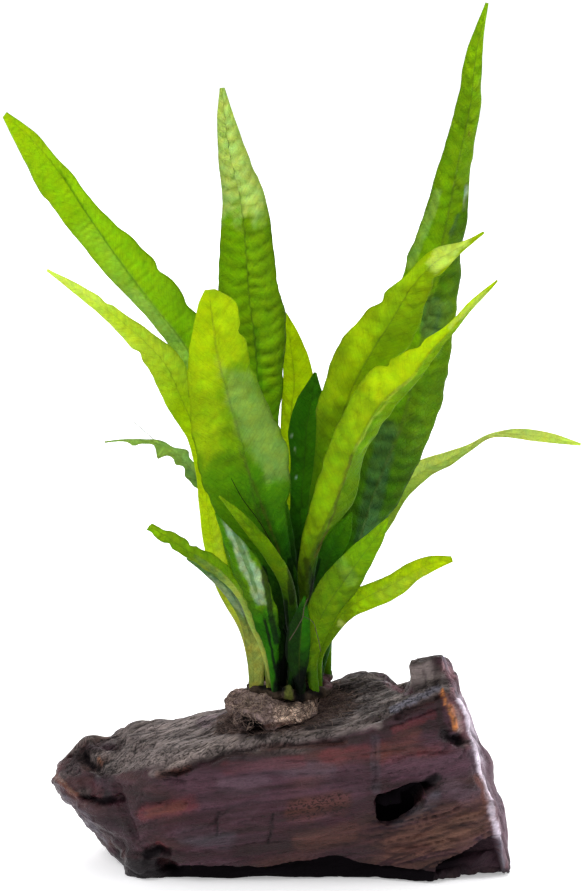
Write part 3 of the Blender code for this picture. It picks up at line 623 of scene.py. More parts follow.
# %% Driftwood: patches and stains
# Each has its colour, how much of it covers, its half width in pixels and the pixels it runs through.
WOOD_MARKS = [
    ("worn", 0.6, 24, [(195, 792), (290, 780), (350, 783)]), ("worn", 0.8, 15, [(396, 768), (460, 766)]),
    ("umber", 0.5, 12, [(134, 796), (160, 796)]), ("slate", 0.35, 12, [(186, 834), (226, 840)]),
    ("mauve", 0.35, 10, [(226, 786), (262, 784)]),
    # The slate stroke below right of the knot hole is a painted shadow band.
    ("umber", 0.5, 12, [(240, 846), (300, 844), (350, 838)]), ("slate", 0.5, 8, [(398, 822), (436, 798)]),
    ("mauve", 0.4, 12, [(450, 788), (474, 800)]), ("slate", 0.3, 9, [(236, 764), (330, 770)]),
    ("red", 0.5, 8, [(326, 757), (366, 752)]), ("red", 0.35, 7, [(226, 768), (300, 762)]),
    ("red", 0.4, 14, [(384, 752), (414, 742)]), ("rust", 0.4, 9, [(382, 752), (396, 744), (414, 734)]),
    ("umber", 0.6, 7, [(390, 740), (420, 724), (438, 716)]), ("red", 0.4, 7, [(420, 752), (448, 748)]),
    ("slate", 0.3, 6, [(375, 740), (376, 762), (376, 790)]), ("red", 0.6, 10, [(146, 813), (190, 804)]),
    ("rust", 0.5, 6, [(150, 813), (182, 806)]), ("umber", 0.8, 6, [(160, 775), (192, 768)]),
    ("umber", 0.6, 10, [(142, 786), (166, 792)]), ("rust", 0.35, 13, [(296, 812), (340, 802)]),
    ("fibre", 0.8, 20, [(400, 846), (440, 834), (478, 814)]), ("tan", 0.4, 14, [(440, 838), (486, 816)]),
    ("fibre", 0.5, 9, [(300, 842), (350, 834)]), ("umber", 0.6, 6, [(430, 862), (396, 858)]),
    ("umber", 0.9, 8, [(384, 726), (412, 712), (436, 700)]), ("red", 0.5, 5, [(396, 729), (434, 715)]),
    # earth_and_shade is the burnt pit of the nose here; under the ridge, on the foot and by the felt it is
    # painted shade.
    ("earth_and_shade", 0.75, 16, [(84, 758), (104, 774)]), ("plum", 0.75, 15, [(68, 764), (96, 782)]),
    ("umber", 0.7, 12, [(66, 764), (84, 750)]), ("earth_and_shade", 0.5, 14, [(96, 808), (112, 824), (124, 840)]),
    ("earth_and_shade", 0.8, 9, [(78, 784), (104, 796)]), ("steel", 0.5, 5, [(66, 799), (84, 816), (104, 842)]),
    ("plum", 0.5, 9, [(84, 806), (116, 836)]), ("earth_and_shade", 0.9, 14, [(124, 862), (150, 870)]),
    # black_shade is painted shade: in this groove, and further on in the cracks, the seam, the pits and
    # round the knot hole.
    ("black_shade", 0.3, 3, [(124, 800), (130, 822), (138, 838)]),
    ("rust", 0.6, 3.2, [(54, 774), (60, 782), (76, 795)]),
    # A thin painted highlight along the ridge of the nose.
    ("tan", 0.8, 1.2, [(58, 780), (66, 784), (74, 793)]),
    ("red", 0.35, 7, [(58, 766), (70, 752), (84, 744)]), ("red", 0.25, 9, [(72, 782), (96, 790)]),
    ("umber", 0.6, 12, [(68, 756), (92, 746), (112, 742)]), ("umber", 0.8, 9, [(82, 756), (98, 770)]),
    ("orange", 0.4, 2.5, [(98, 758), (102, 764)]), ("umber", 0.8, 8, [(98, 742), (116, 744)]),
    ("tan", 0.5, 5, [(86, 742), (104, 738)]), ("rust", 0.3, 8, [(88, 768), (104, 758)]),
    ("ash", 0.5, 5, [(154, 774), (190, 757), (222, 745), (262, 738), (300, 737), (345, 731), (379, 724)]),
    ("ash", 0.5, 1.4, [(222, 746), (262, 739), (300, 738), (345, 732), (379, 725)]),
    ("umber", 0.5, 9, [(138, 742), (158, 748)]), ("fibre", 0.35, 4, [(262, 747), (300, 746), (345, 740)]),
    ("plum", 0.7, 6, [(90, 744), (110, 746)]), ("lip", 0.5, 7, [(180, 762), (204, 750), (232, 741)]),
    ("lip", 0.5, 3, [(170, 768), (196, 752), (222, 738)]),
    # A dark line of painted shade in the hollow under the lip.
    ("umber", 0.8, 1.8, [(170, 777), (194, 765), (226, 753), (266, 745), (300, 744), (345, 739),
    (379, 732)]), ("ash", 0.6, 24, [(160, 744), (214, 733)]), ("mauve", 0.5, 8, [(205, 722), (218, 712)]),
    # The mauve on the lit slope of the back ridge is painted light.
    ("mauve", 0.8, 6, [(384, 674), (394, 684), (406, 690)]), ("red", 0.5, 4, [(390, 684), (402, 690)]),
    ("fin", 0.95, 20, [(416, 668), (426, 682)]), ("pink", 0.6, 6, [(447, 664), (453, 680), (456, 692)]),
    ("umber", 0.6, 3, [(410, 665), (438, 658)]), ("umber", 0.5, 2, [(424, 672), (426, 690)]),
    ("umber", 0.5, 4, [(436, 664), (438, 684)]), ("steel", 0.9, 4, [(392, 710), (410, 701), (438, 688)]),
    ("umber", 0.9, 4, [(438, 700), (441, 720), (446, 734)]), ("black_shade", 0.85, 8, [(444, 735), (458, 741)]),
    # Glossy ridge of the end: the orange is partly a painted highlight, and its thin orange and tan lines
    # are painted highlights.
    ("rust", 0.8, 4, [(444, 694), (449, 706), (457, 728)]), ("lip", 0.6, 3.5, [(454, 708), (461, 730)]),
    ("orange", 0.9, 1.3, [(443, 690), (446, 704)]), ("orange", 0.9, 3.6, [(451, 708), (456, 727)]),
    ("tan", 0.8, 1.2, [(447, 702), (455, 722)]), ("pink", 0.5, 5, [(452, 700), (462, 722), (468, 744)]),
    ("pink", 0.5, 7, [(484, 776), (493, 812), (498, 834)]),
    # lilac_sheen: the pale worn rim of the end, with a painted sheen on it.
    ("lilac_sheen", 1.0, 5.0, [(462, 698), (471, 726), (480, 762)]),
    ("lilac_sheen", 0.8, 4.4, [(480, 762), (487, 790), (494, 820), (499, 836)]),
    ("lilac_sheen", 0.6, 3.2, [(462, 698), (471, 726), (480, 762), (487, 790), (494, 820), (499, 836)]),
    ("plum", 0.85, 6, [(489, 764), (494, 780)]), ("pink", 0.7, 4, [(505, 836), (508, 866)]),
    ("steel", 0.7, 3, [(502, 836), (503, 876)]), ("rust", 0.6, 4, [(478, 776), (486, 802)]),
    ("umber", 0.5, 4, [(488, 764), (492, 776)]), ("red", 0.6, 3, [(158, 843), (166, 848)]),
    ("black_shade", 0.8, 6, [(148, 854), (160, 850)]), ("black_shade", 0.5, 1.5, [(219, 812), (216, 836)]),
    ("black_shade", 0.55, 1.7, [(273, 816), (268, 842)]),
    ("black_shade", 0.25, 1.2, [(380, 738), (380, 762), (378, 776)]), ("earth_and_shade", 0.6, 8, [(250, 722), (226, 728)]),
    ("black_shade", 0.8, 3.5, [(390, 797), (408, 788), (424, 783), (440, 776)]),
    # The slate stroke here is a painted shadow band below right of the knot hole.
    ("lip", 0.35, 4, [(270, 731), (304, 732)]), ("slate", 0.4, 5, [(398, 823), (420, 810), (438, 794)]),
    ("rust", 0.3, 5, [(160, 776), (186, 770)])]
FRAYED_FROM = 4  # half width over which a patch is frayed along the grain

pixels = picture_of(wood_places) + 2.5 * wobble
frayed = np.clip(0.85 + 1.3 * streaks_at(front_grain, 31), 0.1, 1.3)
shown = wood_seen * (1 - 0.9 * smooth_step(wood_normals[:, 0], 0.8, 0.98) * smooth_step(y, -24, -13))
for name, cover, width, points in WOOD_MARKS:
    covered = np.clip(stroke(pixels, points, width) * (frayed if width > FRAYED_FROM else 1), 0, 1) * shown
    tint = tinted(tint, name, cover * covered)
print("patches and stains:", len(WOOD_MARKS))

# %% Driftwood: painted shade in furrows and holes, and specks
# Painted shade: black places in pits and grooves, round the knot hole and under the felt, that no light
# comes out of: how dark, the half width in pixels and the pixels they run through.
WOOD_DEEP_SHADES = [(0.8, 3.2, [(84, 798), (100, 801), (116, 800)]),
              (0.8, 5, [(148, 856), (158, 849), (167, 851)]), (0.85, 4, [(447, 736), (457, 740)]),
              (0.6, 2.5, [(162, 774), (176, 776)]), (0.85, 4, [(86, 758), (94, 768)]),
              (0.8, 5, [(244, 730), (262, 736)]), (0.7, 2, [(118, 735), (104, 741)]),
              (0.7, 3.5, [(388, 800), (408, 789), (424, 783), (436, 776)]),
              (0.4, 6, [(384, 800), (420, 784)])]
# Places with dark specks, with their half width.
WOOD_SPECKS = [(13, [(296, 812), (340, 802)]), (9, [(404, 796), (440, 780)]),
               (9, [(160, 776), (186, 770)]), (12, [(90, 758), (104, 774)])]

# Painted shade: darker in the furrows of the top, the front and the end, and between the fibres.
tint *= (1 - 0.45 * wood_top * np.clip(top_deep, 0, 1) - 0.35 * wood_front * front_deep)[:, None]
tint *= (1 - 0.5 * wood_end * end_deep)[:, None]
tint = tinted(tint, "tan", 0.3 * fibres * smooth_step(0.4 - fibre_deep, 0.1, 0.4))
tint *= (1 - 0.5 * fibre_deep)[:, None]
# Painted shade: black in the band under the front edge, plum in the recessed corner, black in the knot hole.
tint = tinted(tint, "black_shade", 0.9 * shaded_underside)
tint = tinted(tint, "plum", 0.9 * recess)
tint = tinted(tint, "black_shade", knot)
# Painted shade: darker over the lowest 5 mm, near the floor.
tint = tinted(tint, "earth_and_shade", 0.8 * smooth_step(-z, -5, -0.5) * (1 - recess))
recess_right = smooth_step(pixels[:, 0], 446, 492)
deep_shade = [dark * stroke(pixels, points, width) for dark, width, points in WOOD_DEEP_SHADES]
deep_shade = np.max(deep_shade, axis=0) * wood_seen
underside_shade, recess_shade = 0.93 * shaded_underside * (1 - recess), 0.97 * recess * (1 - 0.6 * recess_right)
deep_shade = np.maximum.reduce([deep_shade, knot, underside_shade, recess_shade])
specks = np.max([stroke(pixels, points, width) for width, points in WOOD_SPECKS], axis=0) * wood_seen
paint(wood, "wood_tint", np.maximum(tint, 0.001))
paint(wood, "wood_rough", np.clip(wood_top + 0.6 * wood_end + 0.5 * specks + 0.5 * fibres, 0, 1))
paint(wood, "wood_deep_shade", deep_shade)
paint(wood, "wood_grain_top", to_right[:, None] * right_grain + (1 - to_right[:, None]) * left_grain)
paint(wood, "wood_specks", specks)
paint(wood, "wood_grain", front_grain)
paint(wood, "wood_top", wood_top)
print("share of the points in a hole:", round(float(deep_shade.mean()), 2))


# %% Driftwood: its finish
SPECK_COLOUR = (0.006, 0.004, 0.004)
DEEP_SHADE_COLOUR = (0.004, 0.003, 0.004)
GRAIN_RELIEF = 0.0011  # metres of the bump


def wood_finish():
    """The painted colour, broken up along the grain, and black where painted shade lets no light out."""
    finish = new_finish("weathered_wood")
    grain, top_grain = finish.painted("wood_grain", 1), finish.painted("wood_grain_top", 1)
    tint = finish.painted("wood_tint", 0)
    rough, top, shade_share = (finish.painted(name) for name in ("wood_rough", "wood_top", "wood_deep_shade"))
    streaks = finish.mottle(grain, 1.0, 6.0, (0.05, 0.4, 0.4))
    hairs = finish.mottle(grain, 1.0, 4.0, (0.16, 2.0, 2.0))
    top_hairs = finish.mottle(top_grain, 1.0, 5.0, (0.12, 2.2, 2.2))
    hairs = hairs + (top_hairs - hairs) * top
    cracks = finish.mottle(top_grain, 1.0, 3.0, (0.022, 0.9, 0.9))
    cracks = cracks.between(0.455, 0.49) - cracks.between(0.49, 0.525)
    crumbs = finish.mottle(grain, 1.0, 4.0, (1.3, 2.2, 2.2))
    colour = finish.brighten(tint, 0.35 + 1.3 * streaks)
    colour = finish.brighten(colour, (0.25 + 1.5 * hairs) * top + (0.7 + 0.6 * hairs) * (1 - top))
    colour = finish.brighten(colour, (0.6 + 0.8 * crumbs) * (1 - 0.6 * cracks * top))
    dark = finish.painted("wood_specks") * crumbs.between(0.5, 0.6)
    colour = finish.mix(0.8 * dark, colour, SPECK_COLOUR)
    height = 0.45 * hairs + 0.35 * crumbs + 0.3 * streaks - 0.5 * cracks * top
    lit = finish.surface(
        Base_Color=colour, Roughness=0.34 + 0.45 * rough + 0.3 * (crumbs - 0.5), Specular_IOR_Level=0.22,
        Normal=finish.bump(height, GRAIN_RELIEF))
    unlit = finish.node("ShaderNodeBsdfDiffuse", {}, {"Color": DEEP_SHADE_COLOUR})
    return finish.done(finish.node("ShaderNodeMixShader", {}, {0: shade_share, 1: lit, 2: unlit}))


wood.data.materials.append(wood_finish())
print("faces of the wood:", len(wood.data.polygons))

# %% [markdown]
# ## Leaves: where they grow and what they are like
# Each leaf is known by its stations from foot to tip, in mm: x, y and z of the midrib and the half widths
# to the left and right of it. They are those of the solid that the leaf stands for. With them go the fold
# of each half, the turns about the midrib, how much the blade ruffles and bulges, the distance between two
# side veins, the kinds of tissue from foot to tip on the left and on the right, and the light that shines
# through.

# %% Leaves: where they grow
# What a leaf is like where its own entry says nothing else: folds and turns in degrees, the step between
# side veins in mm, how even the veins are and how ragged the rim. A leaf that names no tissue for its
# right half has that of its left half there.
LEAF_HABIT = dict(folds=(10, 10), turns=(0, 0, 0), ruffle=0.5, quilt=0.2, contrast=0.3, vein_step=5.0,
                  even=0.0, ragged=0.07, through="green")
LEAVES = {
    "leaf_long_left": dict(
        slot="leaf_green", folds=(12, 8), turns=(0, 10, 15), ruffle=0.8, contrast=0.4, vein_step=2.2,
        even=0.85,
        left="deep green mist fresh yellow", right="deep deep green fresh yellow", rows=[
        (-7, 3.5, 50.2, 1.1, 1.1), (-7.5, 5.5, 66, 1.6, 1.6), (-9.5, 8, 84, 2.2, 2.2),
        (-14, 11, 104, 2.8, 2.8), (-20.5, 14, 123.5, 4.0, 5.8), (-31.2, 17, 144.9, 3.6, 8.5),
        (-40.2, 19.5, 156.1, 3.8, 9.8), (-49, 22, 167.7, 5.5, 7.7), (-58.7, 25, 181.4, 6.9, 4.1),
        (-66.5, 28, 192.8, 7.6, 2.6), (-73.5, 30, 200.8, 5.7, 2.3), (-82, 33, 208.3, 1.2, 1.0)]),
    "leaf_tall_middle": dict(
        slot="leaf_green", folds=(10, 14), turns=(0, -5, 5), ruffle=0.7, quilt=1.0, contrast=0.85,
        vein_step=3.7, even=0.6,
        left="shade deep sage green fresh", right="shade deep sage sage fresh", rows=[
        (-3, 0.5, 50.2, 1.1, 1.1), (-3.5, 2, 71, 1.7, 1.7), (-5, 3.5, 88, 2.4, 2.4), (-7, 5, 105.5, 3, 3),
        (-8.5, 6.5, 119.5, 3.8, 4.2), (-10, 8, 133.5, 5.4, 6.6), (-11, 10, 147.5, 9.2, 9.2),
        (-12.5, 11.5, 158.5, 9, 9.3), (-13.5, 13, 172.5, 7.5, 8.1), (-15, 14.5, 186.5, 5.3, 7.2),
        (-18, 16, 200.5, 3.4, 4.6), (-19.4, 17.2, 211, 2, 2.4), (-20, 18, 217.5, 0.8, 0.7)]),
    "leaf_broad_front": dict(
        slot="leaf_bright", folds=(10, 12), turns=(0, 0, -8), ruffle=1.0, quilt=0.3, vein_step=6.0,
        through="lime",
        left="shade dark deep fresh sunlit", right="shade dark deep green sunlit", rows=[
        (2.5, -7, 50.2, 1.1, 1.1), (0, -8, 65, 1.4, 1.4), (-1, -8.5, 71, 2, 2), (-3, -9.5, 81.5, 3, 3),
        (-6.5, -11, 93, 5.4, 4.4), (-11, -13, 106.5, 11.6, 10), (-12.5, -14, 114.5, 13.3, 11.5),
        (-15.5, -15, 127, 12.9, 11.2), (-18, -15.5, 136.5, 11.3, 9), (-21, -15, 148, 8.7, 8.5),
        (-22.2, -13.5, 156, 5.8, 7.4), (-23, -11, 161.5, 3.4, 6.4), (-23.4, -8.5, 164.7, 1.3, 1.8)]),
    "leaf_slim_left": dict(
        slot="leaf_yellow", turns=(0, 0, 10), ruffle=0.8, contrast=0.25, vein_step=3.0, even=0.6,
        through="lime",
        left="olive sunlit fresh lemon straw", rows=[
        (-11, -1, 50.2, 1.1, 1.1), (-14, 0, 66, 1.5, 1.5), (-20, 1.5, 78.5, 2, 2),
        (-23, 2.5, 90, 2.4, 2.4), (-24.5, 3.5, 101.5, 2.4, 2.9), (-25.5, 5, 111, 2.2, 3.5),
        (-27.5, 6.5, 121, 3, 3.6), (-31.5, 8.5, 130.5, 4.8, 4.6), (-36.2, 11, 140.5, 5, 4.8),
        (-43, 14, 147.2, 4.2, 3.3), (-51.5, 17, 153.8, 2.8, 2.2), (-61, 20, 160, 1.6, 1.4),
        (-70, 23, 165.3, 0.5, 0.4)]),
    "leaf_curled_left": dict(
        slot="leaf_green", folds=(20, 10), turns=(0, 10, 30), ruffle=0.9, quilt=0.15, vein_step=4.0,
        ragged=0.45,
        left="deep green slate mist mist", rows=[
        (-10.5, 3, 50.2, 1.1, 1.1), (-12.5, 6, 64, 1, 1), (-16.5, 7.5, 77, 0.9, 0.9),
        (-20.5, 8.5, 88.5, 1.1, 1.1), (-24.5, 9.5, 101.5, 1.6, 1.5), (-28.2, 9, 109.2, 2.6, 2.2),
        (-31.5, 8, 113.8, 2.2, 2.2), (-35.5, 6.5, 117.2, 1.6, 1.6), (-40, 5, 119.3, 1.4, 1),
        (-46.5, 3, 120.2, 0.6, 0.6), (-53, 1, 120, 0.4, 0.4)]),
    "leaf_torn_left": dict(
        slot="leaf_green", folds=(15, 5), turns=(0, 5, 10), ruffle=0.7, contrast=0.4, vein_step=4.0,
        ragged=0.3,
        left="olive pale pale sage fresh", right="olive pale green sage fresh", rows=[
        (-6.5, -9, 50.2, 1.1, 1.1), (-8, -10.5, 63, 1.4, 1.4), (-11, -12, 70.5, 1.5, 1.5),
        (-14, -14, 79, 1.7, 1.7), (-18.5, -17, 86, 2.3, 2.3), (-24.5, -21, 91.3, 2.2, 2.6),
        (-30.5, -25, 95.8, 1.8, 2.6), (-35.5, -28, 100.2, 1.8, 2.2), (-39.5, -30, 103, 1.4, 1.5)]),
    "leaf_under_left": dict(
        slot="leaf_dark", ruffle=0.4, quilt=0.1, vein_step=4.0,
        left="olive olive slate slate slate", right="olive olive dusk slate slate", rows=[
        (-11, -7, 50.2, 1.5, 1.5), (-11.8, -8, 62.5, 1.6, 1.5), (-13.8, -9.5, 72, 1.5, 1.5),
        (-17.8, -12, 80, 1.7, 1.9), (-23.5, -15, 86.8, 1.6, 1.9), (-29.5, -17.5, 91.3, 0.7, 0.7)]),
    "leaf_ribbon_front": dict(
        slot="leaf_bright", folds=(5, 25), turns=(0, 10, 0), ruffle=0.4, quilt=0.15, contrast=0.4,
        vein_step=4.0, through="lime",
        left="shade dark sage green fresh", rows=[
        (-1, -10.5, 50.2, 1.1, 1.1), (0.5, -11, 61.5, 1.6, 1.6), (-0.5, -12, 72, 1.9, 1.9),
        (-2, -13.5, 82.5, 2, 2), (-6, -16, 91.5, 2.3, 2.3), (-10.5, -18.5, 98, 2, 2),
        (-15.5, -21, 104.5, 1.4, 1.4), (-20.5, -23, 110, 0.3, 0.3)]),
    "leaf_glossy_left": dict(
        slot="leaf_dark", folds=(5, 20), turns=(0, 5, 5), ruffle=0.4, quilt=0.15, vein_step=4.0,
        ragged=0.25,
        left="dark dark green deep deep", rows=[
        (-5, -11.5, 50.2, 1.1, 1.1), (-6.5, -13, 65, 1.8, 1.8), (-8.5, -15, 74, 2.5, 2.5),
        (-10.5, -17, 82.5, 3.1, 3.1), (-14, -19.5, 91, 3.1, 2.9), (-18, -22, 98.5, 1.8, 1.8),
        (-21.5, -24, 105.5, 0.3, 0.3)]),
    "leaf_dark_middle": dict(
        slot="leaf_dark", turns=(0, 0, 5), quilt=0.35, contrast=0.4,
        left="shade shade dark dark dark", rows=[
        (-1, -3, 50.2, 1.1, 1.1), (-0.3, -0.6, 63, 1.2, 1.2), (0.6, 1.1, 76, 2, 2), (1.4, 1.4, 90.5, 3, 3),
        (2, 1, 103.5, 3.2, 3.4), (3, 1, 115, 4, 4), (3.5, 1.5, 123.5, 5.1, 5.1), (5, 2, 132, 4, 3.5),
        (6, 3, 139.5, 0.4, 0.4)]),
    "leaf_yellow_back": dict(
        slot="leaf_yellow", folds=(5, 10), turns=(0, 0, -5), quilt=0.3, contrast=0.5, through="lime",
        left="dark green yellow yellow yellow", rows=[
        (0.5, 4, 50.2, 1.1, 1.1), (1, 4.5, 73.5, 2, 2), (1, 5, 88, 2.2, 2.2), (0.5, 5.5, 102.5, 2.5, 2.5),
        (-1, 6.5, 113.5, 2.4, 2.9), (-1, 8, 125, 2.9, 4.1), (0, 10, 136, 3.2, 5.5),
        (-1, 12, 145.5, 2.1, 3.8), (-2.5, 14, 154.5, 0.4, 0.4)]),
    "leaf_broad_right": dict(
        slot="leaf_bright", turns=(0, -5, -15), ruffle=1.1, quilt=0.4, contrast=0.5, vein_step=5.5,
        through="lime",
        left="dark deep sage fresh yellow", right="dark deep sage green yellow", rows=[
        (2, -2, 50.2, 1.1, 1.1), (3.4, -2.2, 75, 1.6, 1.6), (4.5, -2.5, 89.5, 2.4, 2.4),
        (7.5, -3.5, 107, 3, 3.4), (11.5, -5, 122, 5.8, 6.2), (15.2, -7, 135, 8.7, 7.9),
        (20.7, -9, 146.5, 9.3, 8.5), (27, -11, 157.5, 7.1, 8), (33, -12.5, 167.5, 4.5, 5.1),
        (40, -13.5, 174.5, 3.1, 3.4), (46, -14, 178, 1.2, 1.4), (51.8, -14, 181.6, 0.5, 0.4)]),
    "leaf_folded_front": dict(
        slot="leaf_bright", folds=(-20, -40), turns=(0, 0, -10), ruffle=1.0, quilt=0.4, contrast=0.45,
        vein_step=5.5, through="lime",
        left="green fresh fresh sunlit sunlit", right="green moss green green fresh", rows=[
        (5.5, -5, 50.2, 1.2, 1.2), (4, -5.5, 64, 1.6, 1.6), (3.5, -7, 76.5, 2.2, 1.9), (4, -9, 87, 3.2, 2),
        (6.5, -11, 94.5, 5, 2.8), (10, -13, 102.5, 6.4, 5.3), (13.5, -15, 111, 7.8, 5.5),
        (16, -17, 120, 7.3, 5.5), (19.5, -19, 128, 7.5, 5.8), (24, -20.5, 135.5, 8.3, 4.8),
        (32, -22, 143, 7.4, 3), (37.5, -22.5, 150.5, 3.8, 2.2), (43, -22.5, 156.5, 1.7, 1.7),
        (49, -22, 163.2, 1.4, 1.2), (55.3, -21, 169.4, 0.4, 0.4)]),
    "leaf_tall_right": dict(
        slot="leaf_green", folds=(8, -25), turns=(0, 5, 0), ruffle=0.9, quilt=0.65, contrast=0.6,
        vein_step=4.5, even=0.4,
        left="dark moss green sage fresh", right="dark moss sage sage fresh", rows=[
        (6.5, 1, 50.2, 1.1, 1.1), (11.5, 4, 70.5, 2.2, 2.2), (16.5, 5, 85, 4, 4), (21, 7, 99, 6.5, 7.2),
        (25.5, 9, 111.5, 8, 9.2), (30.5, 11, 124, 9.2, 10.4), (34, 13, 138, 9.2, 10),
        (37, 15, 152, 9.6, 9), (40, 17, 166, 8.8, 7.8), (43, 19, 180, 6.8, 6), (45.9, 21, 195.5, 5.3, 4.6),
        (49.2, 22.5, 210.5, 3.8, 3.5), (51.2, 24, 227.5, 2.6, 1.9), (54.1, 25, 240.5, 0.6, 0.4)]),
    "leaf_twisted_right": dict(
        slot="leaf_green", turns=(0, 0, 20, 60, 0), through="lime",
        left="deep sage hay hay straw", right="deep sage mist hay straw", rows=[
        (9.5, 5, 50.2, 1.1, 1.1), (10.5, 8, 66.5, 1.2, 1.2), (17.5, 12, 83, 2.2, 2.2),
        (24.5, 15, 94.3, 3.6, 3.6), (31, 18, 103.2, 3.8, 3.4), (38, 21, 107.6, 3.5, 2.9),
        (44.5, 24, 109.8, 2.7, 2.4), (51, 26, 113.2, 1.3, 1.3), (57, 28, 116, 1, 1),
        (65, 30, 116, 1.8, 1.7), (74.5, 32, 114.5, 1.5, 1.5), (83, 33, 112.5, 0.4, 0.4)]),
    "leaf_blunt_right": dict(
        slot="leaf_yellow", contrast=0.4, through="lime",
        left="moss sage fresh yellow yellow", rows=[
        (6.8, -7.5, 50.2, 1.2, 1.2), (7.0, -9, 61, 1.4, 1.4), (10, -11.5, 68, 1.9, 1.9),
        (14, -13.5, 74.8, 2.8, 2.9), (19.5, -17, 79.6, 3.5, 3.8), (26.5, -22, 84.4, 3.4, 3.8),
        (34.5, -28, 90.9, 2.8, 2.6), (39, -32, 93.6, 2.2, 1.9), (43, -35, 95.2, 0.9, 0.9)]),
    "leaf_upright_right": dict(
        slot="leaf_green", folds=(8, 8), turns=(0, 0, 5), contrast=0.4,
        left="moss sage sage green fresh", rows=[
        (6, -10.5, 50.2, 1.2, 1.2), (4.5, -12.5, 60.5, 2.2, 2.2), (6, -15.5, 70, 3.6, 3.6),
        (9.5, -19, 78.5, 5, 4.1), (14, -22, 86, 5.3, 4.6), (18.5, -26, 93.5, 3.9, 3.4),
        (23, -30, 101, 2, 2), (25.5, -33, 106, 0.3, 0.3)]),
    "leaf_small_front": dict(
        slot="leaf_dark", folds=(5, 5), ruffle=0.4, quilt=0.15,
        left="shade shade shade shade dark", right="shade shade dark dark dark", rows=[
        (2, -12.5, 50.2, 1.2, 1.2), (1.5, -14.5, 56.5, 1.8, 1.8), (1.5, -16, 62.5, 3.8, 2.8),
        (2, -18.5, 70, 4, 2.6), (2.5, -21, 76.5, 2, 1.6), (3, -22.5, 81.5, 0.3, 0.3)]),
    "leaf_dark_right": dict(
        slot="leaf_dark", ruffle=0.4, quilt=0.15,
        left="shade dark dark dark deep", rows=[
        (7.2, -3, 50.2, 1.1, 1.1), (6.6, -3.5, 64, 1.5, 1.5), (7, -4, 73, 1.9, 1.9),
        (8.5, -5, 83, 2.6, 2.6), (10.5, -6, 90.5, 3.2, 3.2), (13.5, -7.5, 96.5, 2.7, 2.7),
        (16, -9, 102, 0.3, 0.3)]),
    "leaf_dark_left": dict(
        slot="leaf_dark",
        left="shade shade dark deep deep", rows=[
        (-3.5, -6.5, 50.2, 1.1, 1.1), (-3, -5.5, 62, 2, 2), (-3, -5, 76, 3, 3), (-3.8, -5, 87.5, 4, 4),
        (-5.5, -5.5, 96, 4.8, 4.8), (-7.5, -6, 108, 4.3, 4.3), (-8.5, -7, 122.5, 2.3, 2.3),
        (-9.5, -8, 131, 0.3, 0.3)]),
    "leaf_back_left": dict(
        slot="leaf_green", folds=(-12, -12), ruffle=0.8, quilt=0.4, contrast=0.5,
        left="shade dark deep green green", rows=[
        (-4, 7, 50.2, 1.1, 1.1), (-4.5, 10, 62, 3, 3), (-6, 14, 76, 5, 5), (-8, 18, 90, 6, 6),
        (-10.5, 22, 104.5, 6.9, 6.9), (-12.5, 27, 121, 6.9, 6.9), (-14.5, 31, 135, 4.6, 4.6),
        (-15.5, 35, 147, 0.4, 0.4)]),
    "leaf_back_right": dict(
        slot="leaf_green", folds=(-12, -12), ruffle=0.8, quilt=0.4, contrast=0.5,
        left="shade dark deep green green", rows=[
        (3.5, 7, 50.2, 1.1, 1.1), (5, 10.5, 62, 3, 3), (8.5, 14.5, 76, 4.6, 4.6), (13, 18, 90.5, 5.6, 5.6),
        (19, 23, 107, 6.9, 6.9), (23.5, 28, 120.5, 6.9, 6.9), (26, 32, 131.5, 4.6, 4.6),
        (28.5, 36, 141, 0.4, 0.4)]),
}
leaves = {name: {**LEAF_HABIT, **own} for name, own in LEAVES.items()}
print("leaves:", len(leaves))

# %% [markdown]
# ## Leaves: their tissue
# Light shows the state of a leaf. Thin young tissue glows yellow green. Deep in the crown the leaves are
# painted nearly black, as painted shade, and where the sky mirrors in the skin a grey or whitish colour
# is a painted reflection. So each kind of tissue has a colour and the share of the light that passes
# through it. Patches that the photograph shows are strokes of other tissue.

# %% Leaves: kinds of tissue
# For each kind its colour and the share of the light that passes through it.
# Painted light among them: sunlit is painted light, shade and black painted shade, mist a painted sheen,
# pale_dots_and_sheen a painted whitish reflection and on one leaf pale dots, dusk painted shade with a
# bluish sheen.
TISSUES = {
    "straw": (0.78, 0.80, 0.30, 0.7), "hay": (0.60, 0.60, 0.24, 0.5), "lemon": (0.50, 0.58, 0.06, 0.6),
    "sunlit": (0.70, 0.80, 0.012, 0.75), "yellow": (0.38, 0.48, 0.002, 0.52),
    "fresh": (0.28, 0.46, 0.004, 0.5), "green": (0.16, 0.33, 0.002, 0.42),
    "deep": (0.066, 0.24, 0.001, 0.3), "dark": (0.022, 0.15, 0.001, 0.2),
    "shade": (0.006, 0.03, 0.001, 0.05), "mist": (0.33, 0.47, 0.13, 0.4),
    "sage": (0.14, 0.26, 0.002, 0.34), "dusk": (0.045, 0.10, 0.05, 0.1), "moss": (0.06, 0.15, 0.003, 0.2),
    "pale": (0.36, 0.44, 0.08, 0.35), "pale_dots_and_sheen": (0.46, 0.54, 0.40, 0.2), "slate": (0.11, 0.23, 0.08, 0.2),
    "olive": (0.33, 0.35, 0.07, 0.15), "rust": (0.12, 0.05, 0.02, 0.1),
    "black": (0.001, 0.002, 0.001, 0.0)}
THROUGH = {"lime": (0.68, 0.84, 0.003), "green": (0.50, 0.74, 0.002)}  # colours of the light that passes
TISSUE_SHARES = (0.1, 0.35, 0.55, 0.8, 1.0)  # how far up a leaf each of its five kinds of tissue lies
print("kinds of tissue:", len(TISSUES))

